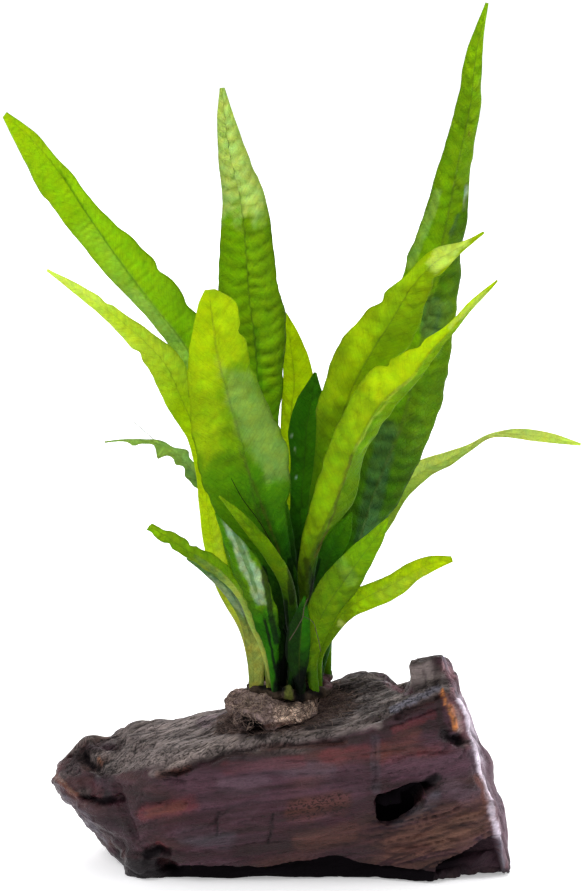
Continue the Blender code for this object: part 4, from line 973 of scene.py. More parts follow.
# %% Leaves: patches that the photograph shows
# For a leaf: the tissue of each patch, how much of it covers, its half width in pixels and the pixels that
# it runs through. A width under 0 means that the patch fills their outline and is that soft at its edge.
LEAF_MARKS = {
    "leaf_tall_middle": [
        # The hay patch over the top of this leaf is a painted sheen.
        ("hay", 0.85, -34, [(120, 70), (330, 70), (330, 210), (240, 216), (120, 200)]),
        ("dark", 0.5, 4, [(256, 330), (262, 420)])],
    "leaf_broad_front": [
        ("sunlit", 0.7, -12, [(180, 290), (250, 300), (244, 350), (230, 372), (204, 376), (180, 350)]),
        ("sunlit", 0.4, -14, [(176, 350), (234, 356), (222, 400), (226, 440), (206, 466), (182, 430)]),
        # The mist patch is a painted reflection of the sky.
        ("mist", 0.6, -14, [(216, 362), (246, 372), (272, 406), (290, 446), (296, 480), (264, 480),
        (234, 420)]), ("shade", 0.4, 9, [(262, 510), (276, 550)]),
        ("rust", 0.4, 1.4, [(238, 446), (245, 462), (260, 500), (280, 553)])],
    "leaf_long_left": [
        ("deep", 0.6, 1.4, [(60, 170), (86, 212), (116, 256), (146, 298), (184, 351)]),
        # A painted sheen.
        ("mist", 0.55, 9, [(134, 296), (156, 322), (178, 352)])],
    "leaf_glossy_left": [
        # A painted whitish reflection along a torn streak.
        ("pale_dots_and_sheen", 0.7, -5, [(220, 514), (232, 518), (246, 548), (262, 574), (268, 604), (256, 606),
        (240, 566)]), ("dark", 0.6, 3, [(234, 530), (246, 560), (256, 590)]),
        ("moss", 0.8, 6, [(226, 560), (244, 590), (256, 620)]),
        ("dark", 0.7, -6, [(250, 612), (268, 606), (280, 650), (276, 690), (262, 690)])],
    "leaf_under_left": [
        # A painted highlight.
        ("pale_dots_and_sheen", 0.5, 5, [(208, 578), (226, 592), (245, 612)]),
        ("slate", 0.35, 5, [(222, 584), (238, 600)])],
    "leaf_tall_right": [
        # A painted highlight; the dusk strokes below are painted shade with a bluish sheen, mist a painted
        # sheen.
        ("pale_dots_and_sheen", 0.8, 2.2, [(467, 186), (465, 200), (464, 210)]),
        ("dusk", 0.7, 4, [(458, 216), (452, 234)]),
        ("moss", 0.85, -3, [(466, 196), (450, 237), (441, 274), (430, 300), (476, 300), (476, 200)]),
        ("dusk", 0.6, 13, [(432, 306), (430, 330)]),
        ("dusk", 0.55, 13, [(388, 430), (374, 490), (366, 540)]),
        ("rust", 0.5, 1.8, [(469, 133), (469, 136)]),
        ("mist", 0.6, 6, [(438, 193), (424, 230), (409, 264)]),
        ("dusk", 0.35, 8, [(446, 306), (440, 330), (436, 352)])],
    "leaf_broad_right": [
        ("straw", 0.8, -5, [(426, 262), (440, 240), (470, 228), (466, 246), (452, 262), (436, 276)]),
        ("moss", 0.15, -10, [(396, 290), (436, 262), (426, 300), (400, 340), (376, 372), (372, 340)]),
        ("yellow", 0.5, -8, [(326, 370), (345, 322), (378, 300), (372, 345), (350, 400), (330, 410)])],
    "leaf_folded_front": [
        ("sunlit", 0.9, 20, [(380, 384), (404, 362)]),
        ("rust", 0.5, 1.5, [(352, 455), (330, 522), (314, 556)]),
        # A painted highlight along the midrib.
        ("lemon", 0.8, 1.6, [(411, 378), (398, 388), (372, 420), (355, 449)]),
        ("straw", 0.6, 3, [(450, 326), (484, 292)])],
    # A faint painted sheen.
    "leaf_upright_right": [("mist", 0.2, 8, [(340, 560), (352, 580)])],
    "leaf_slim_left": [
        ("straw", 0.9, 1.3, [(250, 661), (256, 662)]), ("rust", 0.5, 1.0, [(250, 668), (263, 671)]),
        ("rust", 0.4, 1.0, [(250, 676), (262, 679)]), ("rust", 0.5, 2.5, [(258, 684), (262, 690)]),
        ("rust", 0.4, 2, [(250, 686), (262, 688)]), ("rust", 0.3, 4, [(262, 664), (267, 680)])],
    "leaf_torn_left": [
        ("shade", 0.7, 3, [(262, 664), (270, 688)]), ("slate", 0.5, 3, [(196, 556), (222, 578)]),
        ("fresh", 0.3, 5, [(178, 536), (202, 556)])],
    "leaf_dark_middle": [
        ("pale_dots_and_sheen", 0.9, 1.4, [(291, 434), (292, 436)]), ("pale_dots_and_sheen", 0.9, 1.4, [(294, 449), (295, 450)]),
        ("pale_dots_and_sheen", 0.9, 1.3, [(296, 477), (296, 478)]), ("green", 0.5, 5, [(326, 392), (328, 404)])],
    "leaf_blunt_right": [
        ("straw", 0.7, 2.5, [(340, 622), (344, 624)]), ("olive", 0.25, 9, [(382, 594), (424, 576)])],
}
# Deep shade between the stalks, on whichever leaf the camera sees there.
GAPS = [(0.97, -3, [(277, 660), (287, 655), (289, 700), (268, 700), (273, 682)]),
        (0.97, -6, [(290, 676), (302, 668), (308, 670), (308, 686), (304, 704), (290, 704)]),
        (0.9, 2, [(265, 620), (272, 650), (278, 676)]), (0.8, 3, [(286, 600), (287, 640), (284, 660)]),
        (0.8, 4, [(264, 570), (270, 604), (276, 640)]), (0.7, 4, [(290, 560), (293, 600)]),
        (0.6, 4, [(306, 560), (312, 590)]), (0.7, 2, [(320, 560), (312, 584), (306, 606)])]
# Leaves in front of the crown, which its shade doesn't reach.
IN_FRONT = ("leaf_upright_right", "leaf_blunt_right", "leaf_under_left", "leaf_slim_left", "leaf_torn_left")
print("patches:", sum(len(marks) for marks in LEAF_MARKS.values()), "and gaps:", len(GAPS))

# %% Leaves: what is wider or bitten
# For a leaf: how much wider it is than its solid on the left and the right, in mm, and between which
# heights.
SPREADS = {
    "leaf_under_left": (0.2, 2.2, 46, 84), "leaf_glossy_left": (1.0, 1.8, 60, 102),
    "leaf_slim_left": (0.2, 1.0, 62, 100), "leaf_long_left": (1.4, 0.6, 46, 90),
    "leaf_dark_left": (2.4, 0.5, 70, 118), "leaf_broad_front": (2.0, 1.5, 66, 104)}
NO_SPREAD = (0, 0, 0, 1)
# For a leaf: how far up it a bite lies, on which side, how deep it is and its half length, all as shares.
# A bite with a depth under 0 is a lobe.
BITES = {
    "leaf_long_left": [(0.585, 1, 0.10, 0.012), (0.66, 1, 0.12, 0.01)],
    "leaf_broad_front": [(0.89, 1, 0.18, 0.012), (0.80, 1, 0.10, 0.01)],
    "leaf_slim_left": [(0.74, -1, 0.25, 0.012), (0.86, 1, 0.3, 0.01)],
    "leaf_curled_left": [
        (0.62, -1, 0.5, 0.012), (0.68, 1, -0.5, 0.012), (0.71, -1, 0.6, 0.014), (0.75, 1, -0.9, 0.016),
        (0.79, 1, 0.6, 0.014), (0.81, -1, -1.7, 0.018), (0.85, -1, 0.6, 0.014), (0.87, 1, 0.6, 0.014),
        (0.91, -1, -1.4, 0.016)],
    "leaf_torn_left": [
        (0.80, 1, 0.35, 0.015), (0.88, -1, 0.4, 0.012), (0.94, 1, 0.45, 0.012), (0.98, -1, 0.3, 0.01)],
    "leaf_broad_right": [(0.78, -1, 0.2, 0.012), (0.70, 1, 0.15, 0.012), (0.87, 1, 0.3, 0.01)],
    "leaf_folded_front": [(0.72, -1, 0.2, 0.012), (0.80, -1, 0.25, 0.012)],
}
print("leaves with bites:", len(BITES))

# %% [markdown]
# ## Leaves: their mesh
# A leaf is one closed shell. A ring of points goes round it at each of many stations: the ring is round in
# the stalk and opens to a thin sheet with a thicker midrib in the blade. The sheet bulges between its side
# veins, as this fern's does, and its rim waves. A flat sheet with thickness would need less code, but the
# stalk has to run on into the midrib, as it grew.

# %% Leaves: the line of the midrib
STATION_STEP = 0.9  # mm between two rings of a leaf
LEAST_STATIONS = 30
COLUMNS = 33  # points across one side


def along(rows):
    """Stations evenly spaced on a smooth curve through the rows of a leaf."""
    rows = np.array(rows, float)
    steps = np.linalg.norm(np.diff(rows[:, :3], axis=0), axis=1)
    length = np.concatenate([[0.0], np.cumsum(steps)])
    slopes = np.gradient(rows, length, axis=0)
    at = np.linspace(0.0, length[-1], max(LEAST_STATIONS, round(length[-1] / STATION_STEP)))
    k = np.clip(np.searchsorted(length, at, side="right") - 1, 0, len(rows) - 2)
    h = (length[k + 1] - length[k])[:, None]
    t = (at - length[k])[:, None] / h
    return at, ((2 * t**3 - 3 * t**2 + 1) * rows[k] + (t**3 - 2 * t**2 + t) * h * slopes[k]
                + (3 * t**2 - 2 * t**3) * rows[k + 1] + (t**3 - t**2) * h * slopes[k + 1])


def leaf_axes(middles, turns):
    """The directions across each station and out of its front."""
    direction = unit(np.gradient(middles, axis=0))
    front = unit(np.array([0.0, -1.0, 0.0]) + direction[:, 1:2] * direction)
    across = unit(np.cross(direction, front))
    shares = np.linspace(0, 1, len(middles))
    angle = np.radians(np.interp(shares, np.linspace(0, 1, len(turns)), turns))[:, None]
    return np.cos(angle) * across + np.sin(angle) * front, np.cos(angle) * front - np.sin(angle) * across


def across_grid(blade):
    """The places across each station, from -1 to 1, closer at the rims of a stalk and at a midrib."""
    even = np.linspace(-1, 1, COLUMNS)
    return (1 - blade) * np.sin(even * math.pi / 2) + blade * np.sign(even) * np.abs(even) ** 1.25


print("rings of the longest leaf:", max(len(along(leaf["rows"])[0]) for leaf in leaves.values()))

# %% Leaves: their widths and rims
STALK_WIDTH = 1.3  # half width in mm up to which a leaf is all stalk
BLADE_WIDTH = 3.0  # half width from which it is all blade
BLADE_SHARE = 0.6  # how far up a leaf is all blade in any case
RIM_NOISE = [(1, (8, 6, 9), 1), (0.5, (8, 2.2, 9), 2)]


def widened(name, height, left, right):
    """The half widths with what a leaf is wider than its solid."""
    more_left, more_right, low, high = SPREADS.get(name, NO_SPREAD)
    near = np.sin(np.clip((height - low) / (high - low), 0, 1) * math.pi)
    return left + more_left * near, right + more_right * near


def margin(u, share, s, reach, blade, bites, ragged, seed):
    """How far each point lies from the midrib: the rim is uneven, and bitten here and there."""
    rim = noise_layers(np.stack([np.sign(u) * 30, s, 0 * s + 9.0 * seed], -1), RIM_NOISE)
    reach = reach * (1 + ragged * blade * rim * u**2)
    for middle, side, depth, half in bites:
        near = np.exp(-((share - middle) / half) ** 2)
        reach = reach * (1 - depth * near * (np.sign(u) == side) * np.abs(u) ** 3)
    return reach


# %% Leaves: veins and the fields between them
VEIN_SLANT = 1.6  # how many steps a side vein climbs on its way to the rim
WARP_NOISE = [(0.3, (6, 6, 50), 4), (0.12, (2.5, 2.5, 50), 5)]


def cells_at(places, size):
    """0 on the edges of irregular cells, 1 in their middle."""
    scaled = places.reshape(-1, 3) / size
    apart = np.array([np.subtract(*noise.voronoi(Vector(place))[0][1::-1]) for place in scaled])
    return smooth_step(apart, 0.0, 0.45).reshape(places.shape[:-1])


def veins(u, s, vein_step, warp, even):
    """0 on the midrib and along the side veins, 1 in the middle of the fields between them."""
    phase = s / vein_step - VEIN_SLANT * (np.abs(u) - 0.3) ** 2 + 0.5 * (u > 0)
    phase += 2.0 * (1 - 0.7 * even) * warp
    between = np.abs(np.sin(math.pi * phase)) ** 0.7
    columns = np.abs(np.sin(math.pi * np.clip(1.3 * np.abs(u) + 1.1 * warp, 0, 2))) ** 0.6
    return between * (1 - 0.4 * (1 - even) * (1 - columns)) * (1 - u**6)


def fields_at(u, s, place, leaf):
    """The veins and cells of a leaf, clear in one place and faint in another."""
    even, step = leaf["even"], leaf["vein_step"]
    fields = veins(u, s, step, noise_layers(place, WARP_NOISE), even)
    fields *= 1 - 0.4 * (1 - even) * (1 - cells_at(place, 1.1 * step))
    clear = np.clip(0.85 + 1.1 * (1 - 0.6 * even) * noise_at(place, (7, 9, 50), 10), 0.3, 1.3)
    return 0.5 + (fields - 0.5) * clear


# %% Leaves: waves and thickness
WAVE_HEIGHT = 1.9  # mm at the rim of a leaf with a ruffle of 1
SWELL_HEIGHT = 1.1
WAVES = [(1, (9, 13, 9), 6), (0.6, (9, 6, 9), 7)]
SHEET = 0.17  # half the thickness of the blade in mm
RIB_SHARES, RIB_SIZES = (0, 0.35, 1), (1.1, 0.6, 0.15)  # how far up a leaf, and the midrib there in mm
RIB_ABOVE = 0.25  # how far the midrib stands out, as a share of its size
RIB_UNDER = 0.7


def lift_at(u, s, place, reach, fields, leaf, seed):
    """How far the sheet of a leaf is lifted off its plane, in mm."""
    waves = noise_layers(np.stack([np.sign(u) * 40, s, 0 * s + 5.0 * seed], axis=-1), WAVES)
    lift = WAVE_HEIGHT * leaf["ruffle"] * waves * np.abs(u) ** 1.6 * np.minimum(1, reach / 4)
    lift += SWELL_HEIGHT * leaf["ruffle"] * noise_at(place, (14, 20, 50), 8) * np.minimum(1, reach / 5)
    return lift + leaf["quilt"] * fields * np.minimum(1, reach / 5) + 0.3 * noise_at(place, (5, 7, 50), 9)


def half_thickness(u, share, width, blade, reach, rib_height):
    """Half the thickness above or under the middle of the sheet."""
    rib = np.interp(share, RIB_SHARES, RIB_SIZES)
    ridge = rib_height * rib * np.exp(-(u * reach / (0.9 * rib + 0.05)) ** 2)
    thin = SHEET * np.sqrt(np.clip(1 - u**8, 0, 1)) * np.minimum(1, width / 1.2)
    stalk = 0.95 * width * np.sqrt(np.clip(1 - u**2, 0, 1))
    return (1 - blade) * stalk + blade * (thin + ridge)


# %% Leaves: colours on their points
CROWN_SHADE = 0.8  # how much of the shade covers deep in the crown
FRAY_NOISE = [(0.3, (3, 3, 5), 5), (0.2, (1.2, 1.2, 1.2), 6)]
FRAYED_OVER = 2.5  # half width in pixels over which the edge of a patch is frayed


def tissue_along(names, share):
    """Colour and thinness up a leaf, from the names of five kinds of tissue."""
    rows = np.array([TISSUES[name] for name in names.split()])
    return np.stack([np.interp(share, TISSUE_SHARES, column) for column in rows.T], axis=-1)


def tissue_of(name, leaf, sheet, u, share, s, seed):
    """Colour and thinness at each point of a leaf."""
    patch = noise_at(np.stack([6 * u, s, 0 * s + 11.0 * seed], -1), (7, 14, 9), 3)
    where = share + 0.10 * patch
    to_right = smooth_step(u, -0.12, 0.12)[..., None]
    on_left = tissue_along(leaf["left"], where)
    on_right = tissue_along(leaf.get("right", leaf["left"]), where)
    tissue = ((1 - to_right) * on_left + to_right * on_right).reshape(-1, 4)
    flat = sheet.reshape(-1, 3)
    x, y, z = flat.T
    crown = smooth_step(-np.hypot(x - 1, 0.8 * (y + 3)), -15, -7) * smooth_step(-z, -104, -74)
    tissue = towards(tissue, TISSUES["shade"], CROWN_SHADE * crown * (name not in IN_FRONT))
    pixels = picture_of(flat) + 1.5 * noise_at(flat, (3, 3, 3), 4)[:, None]
    frayed = noise_layers(flat, FRAY_NOISE)
    for kind, cover, width, points in LEAF_MARKS.get(name, []) + [("black", *gap_shade) for gap_shade in GAPS]:
        near = stroke(pixels, points, width) if width > 0 else inside(pixels, points, -width)
        ragged = smooth_step(near + 1.3 * frayed, 0.2, 0.9) if abs(width) > FRAYED_OVER else near
        tissue = towards(tissue, TISSUES[kind], cover * ragged * smooth_step(near, 0, 0.3))
    return tissue


def veined(tissue, fields, share, step, blade, leaf):
    """Tissue with painted light and shade: lighter in its fields and darker on the far side of each vein."""
    slope = np.gradient(fields, axis=0) / step
    calm = 1 - 0.6 * leaf["even"] * smooth_step(share, 0.74, 0.86)
    light = 1 + blade * calm * leaf["contrast"] * (1.2 * (fields - 0.5) - 0.9 * slope)
    tissue[..., :3] *= np.clip(light, 0.4, 1.9)[..., None]
    return tissue


# %% Leaves: the mesh of one
def ringed(grid):
    """The columns of a grid for both sides of a leaf, once round."""
    return np.concatenate([grid, grid[:, -2:0:-1]], axis=1)


def shell_faces(rings, around):
    """The faces between rings of points, and one that closes each end."""
    faces = [(a + j, a + (j + 1) % around, a + around + (j + 1) % around, a + around + j)
             for a in range(0, (rings - 1) * around, around) for j in range(around)]
    faces.append(tuple(reversed(range(around))))
    faces.append(tuple(range((rings - 1) * around, rings * around)))
    return faces


def leaf_mesh(name, leaf, seed):
    """The points and faces of a leaf, and the values painted on its points."""
    at, stations = along(leaf["rows"])
    middles = stations[:, :3]
    across, front = leaf_axes(middles, leaf["turns"])
    left, right = widened(name, middles[:, 2:], stations[:, 3:4], stations[:, 4:5])
    rise = at[:, None] / at[-1]
    blade = smooth_step(np.maximum(left, right), STALK_WIDTH, BLADE_WIDTH)
    blade = np.where(rise > BLADE_SHARE, 1.0, blade)
    u = across_grid(blade)
    share, s, reach = rise + 0 * u, at[:, None] + 0 * u, np.where(u < 0, left, right)
    place = np.stack([u * reach, s, 0 * u + 40.0 * seed], axis=-1)
    reach = margin(u, share, s, reach, blade, BITES.get(name, []), leaf["ragged"], seed)
    fields = fields_at(u, s, place, leaf)
    lift = lift_at(u, s, place, reach, fields, leaf, seed)
    fold = np.radians(np.where(u < 0, *leaf["folds"]))[..., None] * blade[..., None]
    out = np.sign(u)[..., None] * across[:, None]
    upward = np.cos(fold) * front[:, None] - np.sin(fold) * out
    outward = np.cos(fold) * out + np.sin(fold) * front[:, None]
    sheet = middles[:, None] + outward * (np.abs(u) * reach)[..., None] + upward * (blade * lift)[..., None]
    width = np.minimum(left, right)
    top = sheet + upward * half_thickness(u, share, width, blade, reach, RIB_ABOVE)[..., None]
    under = sheet - upward * half_thickness(u, share, width, blade, reach, RIB_UNDER)[..., None]
    ring = np.concatenate([top, under[:, -2:0:-1]], axis=1)
    tissue = tissue_of(name, leaf, sheet, u, share, s, seed).reshape(*u.shape, 4)
    tissue = ringed(veined(tissue, fields, share, at[1] - at[0], blade, leaf)).reshape(-1, 4)
    slanted = np.stack([place[..., 1] - 1.1 * np.abs(place[..., 0]), place[..., 0], place[..., 2]], axis=-1)
    values = {"leaf_tint": tissue[:, :3], "leaf_thin": tissue[:, 3], "leaf_field": ringed(fields).ravel(),
              "leaf_place": ringed(place).reshape(-1, 3), "leaf_slanted": ringed(slanted).reshape(-1, 3),
              "leaf_across": ringed(np.abs(u)).ravel(), "leaf_blade": ringed(blade + 0 * u).ravel()}
    return ring.reshape(-1, 3), shell_faces(len(at), ring.shape[1]), values


# %% [markdown]
# ## Leaves: their finish
# A fern leaf is thin tissue: part of the light that falls on it comes back green, and part goes through
# and comes out yellower. So the finish mixes a glossy surface with a translucent one. The midrib and the
# side veins are thicker, so they are darker and let less through, and a fine net of veins runs between
# them.

# %% Leaves: their finish
RIB_COLOUR = (0.09, 0.12, 0.012)
WARMTH = [(0.35, (0.78, 1.0, 1.0)), (0.65, (1.15, 1.05, 0.8))]  # cooler and warmer patches
SKIN_RELIEF = 0.0004  # metres of the bump
GLOW_RELIEF = 0.0006


def leaf_finish(name, through):
    """Green skin with patches, streaks and a fine net of veins, mixed with the light that comes through."""
    finish = new_finish("tissue_" + name)
    place, across = finish.painted("leaf_place", 1), finish.painted("leaf_across")
    field, blade = finish.painted("leaf_field"), finish.painted("leaf_blade")
    patches = finish.mottle(place, 0.16, 4.0)
    grains = finish.mottle(place, 1.5, 3.0)
    streaks = finish.mottle(finish.painted("leaf_slanted", 1), 1.0, 3.0, (2.0, 0.3, 1.0))
    cells = {"Vector": place, "Scale": 0.7}
    net = finish.node("ShaderNodeTexVoronoi", {"feature": "DISTANCE_TO_EDGE"}, cells).between(0.0, 0.14)
    rib = (1 - across.between(0.015, 0.07)) * blade
    warm = finish.ramp(finish.mottle(place, 0.35, 4.0), WARMTH)
    tint = finish.painted("leaf_tint", 0)
    colour = finish.node("ShaderNodeVectorMath", {"operation": "MULTIPLY"}, {0: tint, 1: warm})
    colour = finish.brighten(colour, 0.55 + 0.9 * patches)
    colour = finish.brighten(colour, (0.75 + 0.5 * grains) * (0.9 + 0.1 * net) * (0.6 + 0.8 * streaks))
    # Painted light and shade of the bulges: darker along the veins, lighter in the fields between them.
    colour = finish.brighten(colour, 1 - blade * (0.20 - 0.26 * field))
    colour = finish.mix(0.3 * rib, colour, RIB_COLOUR)
    height = 0.3 * grains + 0.2 * net + 0.25 * field + 0.4 * streaks
    skin = finish.surface(Base_Color=colour, Roughness=0.42 + 0.2 * grains, Specular_IOR_Level=0.06,
                          Normal=finish.bump(height, SKIN_RELIEF, 0.8))
    lit = {"Color": through, "Normal": finish.bump(height, GLOW_RELIEF)}
    glow = finish.node("ShaderNodeBsdfTranslucent", {}, lit)
    passing = finish.painted("leaf_thin") * (0.8 + 0.4 * patches) * (0.9 + 0.1 * net) * (1 - 0.4 * rib)
    passing = passing * (0.84 + 0.16 * field) * (0.75 + 0.5 * streaks)
    return finish.done(finish.node("ShaderNodeMixShader", {}, {0: passing, 1: skin, 2: glow}))


# %% Leaves: make them all
leaf_faces = 0
for number, (name, leaf) in enumerate(leaves.items()):
    points, faces, values = leaf_mesh(name, leaf, number)
    material = leaf_finish(name, THROUGH[leaf["through"]])
    made = add_piece(name.replace("leaf_", "frond_"), points, faces, material, name)
    for key, value in values.items():
        paint(made, key, value)
    leaf_faces += len(faces)
print("faces of the leaves:", leaf_faces)

# %% [markdown]
# ## Creeping stem
# The stem is a finger of brown, scaly tissue that branches in the felt. Its front tip is olive green, and
# next to it sits a purple brown knob. The solid has the branches; the finer copy gets scales, and deep
# shade where the leaf stalks crowd together.

# %% Creeping stem: its scales and colours
# The gap_shade strokes are painted shade between the leaf stalks.
STEM_MARKS = [("olive", 0.9, 5, [(288, 684), (289, 697)]), ("knob", 0.9, 6, [(322, 680), (330, 684)]),
              ("gap_shade", 0.9, 4, [(283, 664), (284, 684)]), ("gap_shade", 0.97, 7, [(299, 676), (300, 698)]),
              ("gap_shade", 0.95, 4, [(262, 686), (282, 689)]), ("gap_shade", 0.8, 4, [(308, 690), (320, 694)])]
STEM_COLOURS = {
    "bark": (0.035, 0.024, 0.016), "olive": (0.085, 0.10, 0.018), "knob": (0.06, 0.022, 0.026),
    "gap_shade": (0.001, 0.001, 0.001)}
STEM_CELL = 0.4  # mm
STEM_SOFTENING = 3
SCALES = [(1, (1.3, 1.3, 0.9), 1), (0.5, (0.6, 0.6, 0.6), 2)]
SCALE_HEIGHT = 0.35  # mm

stem, stem_places, stem_normals = fine_copy(
    "rhizome", "creeping_stem", STEM_CELL, STEM_SOFTENING)
scales = noise_layers(stem_places, SCALES)
stem_tint = np.tile(STEM_COLOURS["bark"], (len(scales), 1)) * (1 + 0.6 * scales)[:, None]
stem_tint = lay_marks(stem_tint, STEM_COLOURS, picture_of(stem_places), STEM_MARKS)
paint(stem, "stem_tint", np.maximum(stem_tint, 0))
move_points(stem, stem_places + stem_normals * (SCALE_HEIGHT * scales)[:, None])


# %% Creeping stem: its finish
def grainy_finish(name, painted, roughness, distance):
    """A matt finish in the painted colour, with fine dark and light grains."""
    finish = new_finish(name)
    place = finish.node("ShaderNodeTexCoord", {}, {}, 3)
    grains = finish.mottle(place, 1400.0, 4.0)
    lumps = finish.mottle(place, 260.0, 3.0)
    colour = finish.brighten(finish.painted(painted, 0), (0.1 + 1.8 * grains) * (0.5 + lumps))
    relief = finish.bump(0.6 * grains + 0.4 * lumps, distance)
    return finish.done(finish.surface(
        Base_Color=colour, Roughness=roughness + 0.1 * grains, Specular_IOR_Level=0.06, Normal=relief))


stem.data.materials.append(grainy_finish("scaly_stem", "stem_tint", 0.6, 0.0005))
print("marks on the stem:", len(STEM_MARKS))

# %% [markdown]
# ## Felt of roots
# Fine brown roots bind the plant to the wood in a dense felt. Its body is a lumpy copy of the solid, with
# a dark hollow in front and a torn tan edge to the right. Over it lie some thousands of short, bent
# threads in one mesh. Particles would be quicker to lay, but the export drops them.

# %% Felt of roots: its body
# Lumps, each with its height in mm, its lengths and its seed, and strokes, each with its depth, its half
# width in pixels and the pixels it runs through. A depth under 0 stands proud.
FELT_LUMPS = [(1.3, (5, 5, 4), 1), (0.6, (2, 2, 1.6), 2), (0.5, (1.1, 1.1, 1.0), 3),
              (0.3, (0.6, 0.6, 0.6), 6), (1.0, (9, 9, 7), 7)]
FELT_CUTS = [(2.4, 8, [(246, 722), (258, 730)]), (1.7, 9, [(226, 684), (254, 683)]),
             (-1.6, 8, [(298, 708), (311, 698)]), (3.0, 9, [(323, 690), (326, 714)]),
             (1.6, 7, [(219, 692), (219, 712)]), (2.4, 8, [(222, 716), (232, 731)]),
             (1.8, 8, [(284, 733), (310, 727)])]
# The hollow_shade patches are painted shade: the hollow under the felt and the gaps by the stalks.
FELT_MARKS = [("tan", 0.97, 12, [(284, 714), (298, 708), (314, 700)]),
              ("tan", 0.8, 7, [(296, 722), (306, 716)]), ("ash", 0.6, 12, [(250, 698), (270, 696)]),
              ("rust", 0.8, 3.5, [(266, 726), (280, 724), (292, 722)]),
              ("hollow_shade", 0.97, 10, [(246, 722), (258, 730)]), ("hollow_shade", 0.5, 9, [(232, 712), (246, 726)]),
              ("hollow_shade", 0.7, 2.2, [(236, 704), (237, 707)]),
              ("hollow_shade", 0.7, 2.2, [(246, 703), (247, 704)]),
              ("hollow_shade", 0.8, 3, [(284, 690), (290, 702), (300, 700)])]
FELT_COLOURS = {
    "felt": (0.27, 0.195, 0.185), "hollow_shade": (0.003, 0.002, 0.002), "tan": (0.90, 0.67, 0.52),
    "ash": (0.30, 0.23, 0.20), "rust": (0.11, 0.04, 0.025)}
FELT_CELL = 0.45  # mm
FELT_SOFTENING = 4

felt, felt_places, felt_normals = fine_copy("root_mat", "root_felt", FELT_CELL, FELT_SOFTENING)
pixels = picture_of(felt_places)
lumps = noise_layers(felt_places, FELT_LUMPS) - cut_depth(pixels, FELT_CUTS)
# Painted light and shade: darker where the felt dips or is cut in, lighter on its lumps.
felt_tint = np.tile(FELT_COLOURS["felt"], (len(lumps), 1)) * (1 + 0.45 * lumps)[:, None]
shift = noise_at(felt_places, (2.5, 2.5, 2.5), 4)
felt_tint = lay_marks(felt_tint, FELT_COLOURS, pixels + 2 * shift[:, None], FELT_MARKS)
paint(felt, "felt_tint", np.maximum(felt_tint, 0.004))
move_points(felt, felt_places + felt_normals * lumps[:, None])
felt.data.materials.append(grainy_finish("felt_of_roots", "felt_tint", 0.85, 0.0008))
print("lumps in mm:", round(float(lumps.min()), 1), "to", round(float(lumps.max()), 1))

# %% Felt of roots: tubes for its threads
THREAD_POINTS = 6
THREAD_TIP = 0.4  # how thin a thread ends
THREAD_STRAYS = 0.5  # how much a thread turns at each step
THREAD_ARCH = 0.18  # mm that its middle stands off the surface


def thread_tubes(lines, radii):
    """Thin three-sided tubes along many lines of points, as one list of points and faces."""
    points, faces = [], []
    for line, radius in zip(lines, radii):
        direction = unit(np.gradient(line, axis=0))
        sideways = unit(np.cross(direction, [0.31, 0.17, 0.93]))
        third = np.cross(direction, sideways)
        start, last = len(points), len(points) + 3 * (len(line) - 1)
        thin = radius * np.where(np.isin(np.arange(len(line)), (0, len(line) - 1)), THREAD_TIP, 1.0)
        for k, middle in enumerate(line):
            for angle in (0, 2 * math.pi / 3, 4 * math.pi / 3):
                out = math.cos(angle) * sideways[k] + math.sin(angle) * third[k]
                points.append(middle + thin[k] * out)
        faces += [(a + j, a + (j + 1) % 3, a + 3 + (j + 1) % 3, a + 3 + j)
                  for a in range(start, last, 3) for j in range(3)]
        faces += [(start + 2, start + 1, start), (last, last + 1, last + 2)]
    return points, faces


def surface_lines(mesh, count, lengths, random, middle=(0, 0, 50), reach=(1e3, 1e3, 1e3), level=-0.3):
    """Bent lines that lie on a mesh near a place, each a walk of short steps along the surface."""
    places = read_points(mesh, "vertices", "co") / MM
    normals = read_points(mesh, "vertex_normals", "vector")
    tree = BVHTree.FromPolygons([Vector(p) for p in places], [tuple(f.vertices) for f in mesh.polygons])
    lines = []
    close = np.linalg.norm((places - middle) / reach, axis=1) < 1
    for index in random.choice(np.flatnonzero(close & (normals[:, 2] > level)), count):
        place, normal = Vector(places[index]), Vector(normals[index])
        heading = Vector(random.normal(size=3)).cross(normal).normalized()
        step = random.uniform(*lengths) / (THREAD_POINTS - 1)
        line = []
        for k in range(THREAD_POINTS):
            arch = 1.2 - 2 * abs(k / (THREAD_POINTS - 1) - 0.5)
            line.append(place + normal * (THREAD_ARCH * arch + random.uniform(-0.05, 0.2)))
            heading = (heading + heading.cross(normal) * random.normal(0, THREAD_STRAYS)).normalized()
            place, normal, _, _ = tree.find_nearest(place + heading * step)
            heading = (heading - heading.dot(normal) * normal).normalized()
        lines.append(np.array(line))
    return lines


def thread_finish(name, dark, middle, light):
    finish = new_finish(name)
    colour = finish.ramp(finish.painted("thread_tone"), [(0.0, dark), (0.45, middle), (1.0, light)])
    return finish.done(finish.surface(Base_Color=colour, Roughness=0.9, Specular_IOR_Level=0.02))


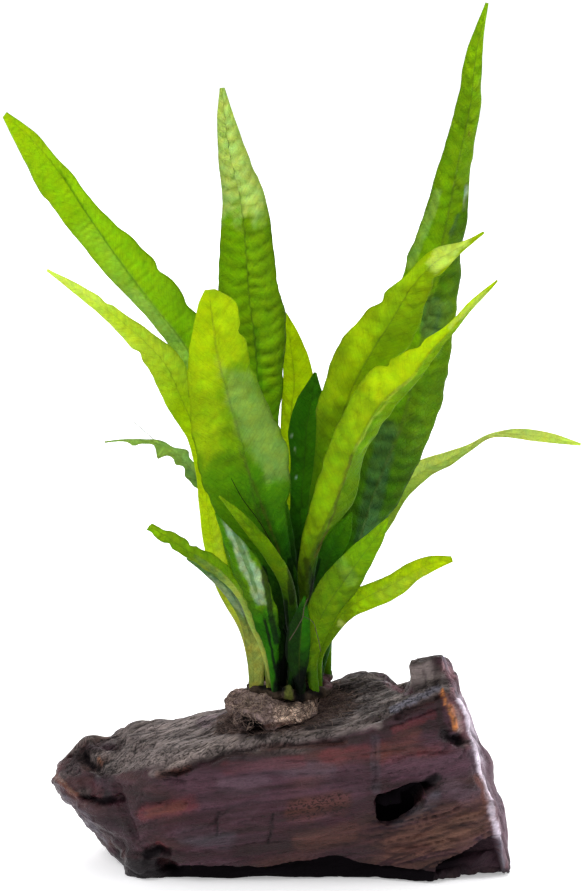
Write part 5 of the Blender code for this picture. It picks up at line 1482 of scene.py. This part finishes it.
# %% Felt of roots: its threads
THREADS = 3000
WOOD_THREADS = 2600  # on the wood round the felt
WOOD_REACH = {"middle": (-2.5, -3, 46), "reach": (20, 14.5, 40), "level": 0.7}
THREAD_LENGTHS = (1.5, 5.0)  # mm
THREAD_RADII = (0.04, 0.09)  # mm
WOOD_THREAD_TONE = 0.6  # threads on the wood are darker
THREAD_COLOURS = ((0.05, 0.032, 0.028), (0.22, 0.155, 0.135), (0.46, 0.34, 0.27))

random = np.random.default_rng(5)
lines = surface_lines(felt.data, THREADS, THREAD_LENGTHS, random)
lines += surface_lines(wood.data, WOOD_THREADS, THREAD_LENGTHS, random, **WOOD_REACH)
points, faces = thread_tubes(lines, random.uniform(*THREAD_RADII, len(lines)))
finish = thread_finish("root_threads", *THREAD_COLOURS)
threads = add_piece("felt_threads", points, faces, finish)
tones = random.uniform(0, 1, len(lines)) * np.where(np.arange(len(lines)) < THREADS, 1.0, WOOD_THREAD_TONE)
paint(threads, "thread_tone", np.repeat(tones, 3 * THREAD_POINTS))
print("threads:", len(lines), "faces:", len(faces))

# %% Stray roots, and a line of painted shade
# Each has its half thickness in mm, its tone, and the pixels and depths that it runs through.
STRAY_ROOTS_AND_SHADE_LINE = [
    (0.14, 0.5, [(308, 598, -25), (304, 608, -25), (303, 616, -24.5), (297, 628, -24), (289, 641, -22.5)]),
    (0.12, 0.5, [(303, 616, -24.5), (312, 621, -24.5), (317, 634, -23), (321, 652, -20)]),
    # The third is no root: a thin dark tube that stands for the shadow of a leaf edge seen through the broad
    # front leaf.
    (0.13, 0.2, [(231, 478, -17), (242, 498, -16.5), (259, 521, -15.5), (275, 549, -14.5),
    (285, 568, -13.5)]), (0.14, 0.75, [(133, 421, 6), (150, 436, 7), (168, 452, 8), (186, 466, 9)])]
STRAY_COLOURS = ((0.006, 0.02, 0.002), (0.055, 0.022, 0.006), (0.45, 0.55, 0.45))

lines = [np.array([place_seen(row[:2], row[2]) for row in rows]) for _, _, rows in STRAY_ROOTS_AND_SHADE_LINE]
lines = [along(np.column_stack([line, line]))[1][:, :3] for line in lines]
points, faces = thread_tubes(lines, [radius for radius, _, _ in STRAY_ROOTS_AND_SHADE_LINE])
finish = thread_finish("stray_root_and_shade_skin", *STRAY_COLOURS)
strays = add_piece("stray_roots_and_shade_line", points, faces, finish)
tones = [np.full(3 * len(line), tone) for line, (_, tone, _) in zip(lines, STRAY_ROOTS_AND_SHADE_LINE)]
paint(strays, "thread_tone", np.concatenate(tones))
print("stray roots:", len(lines))
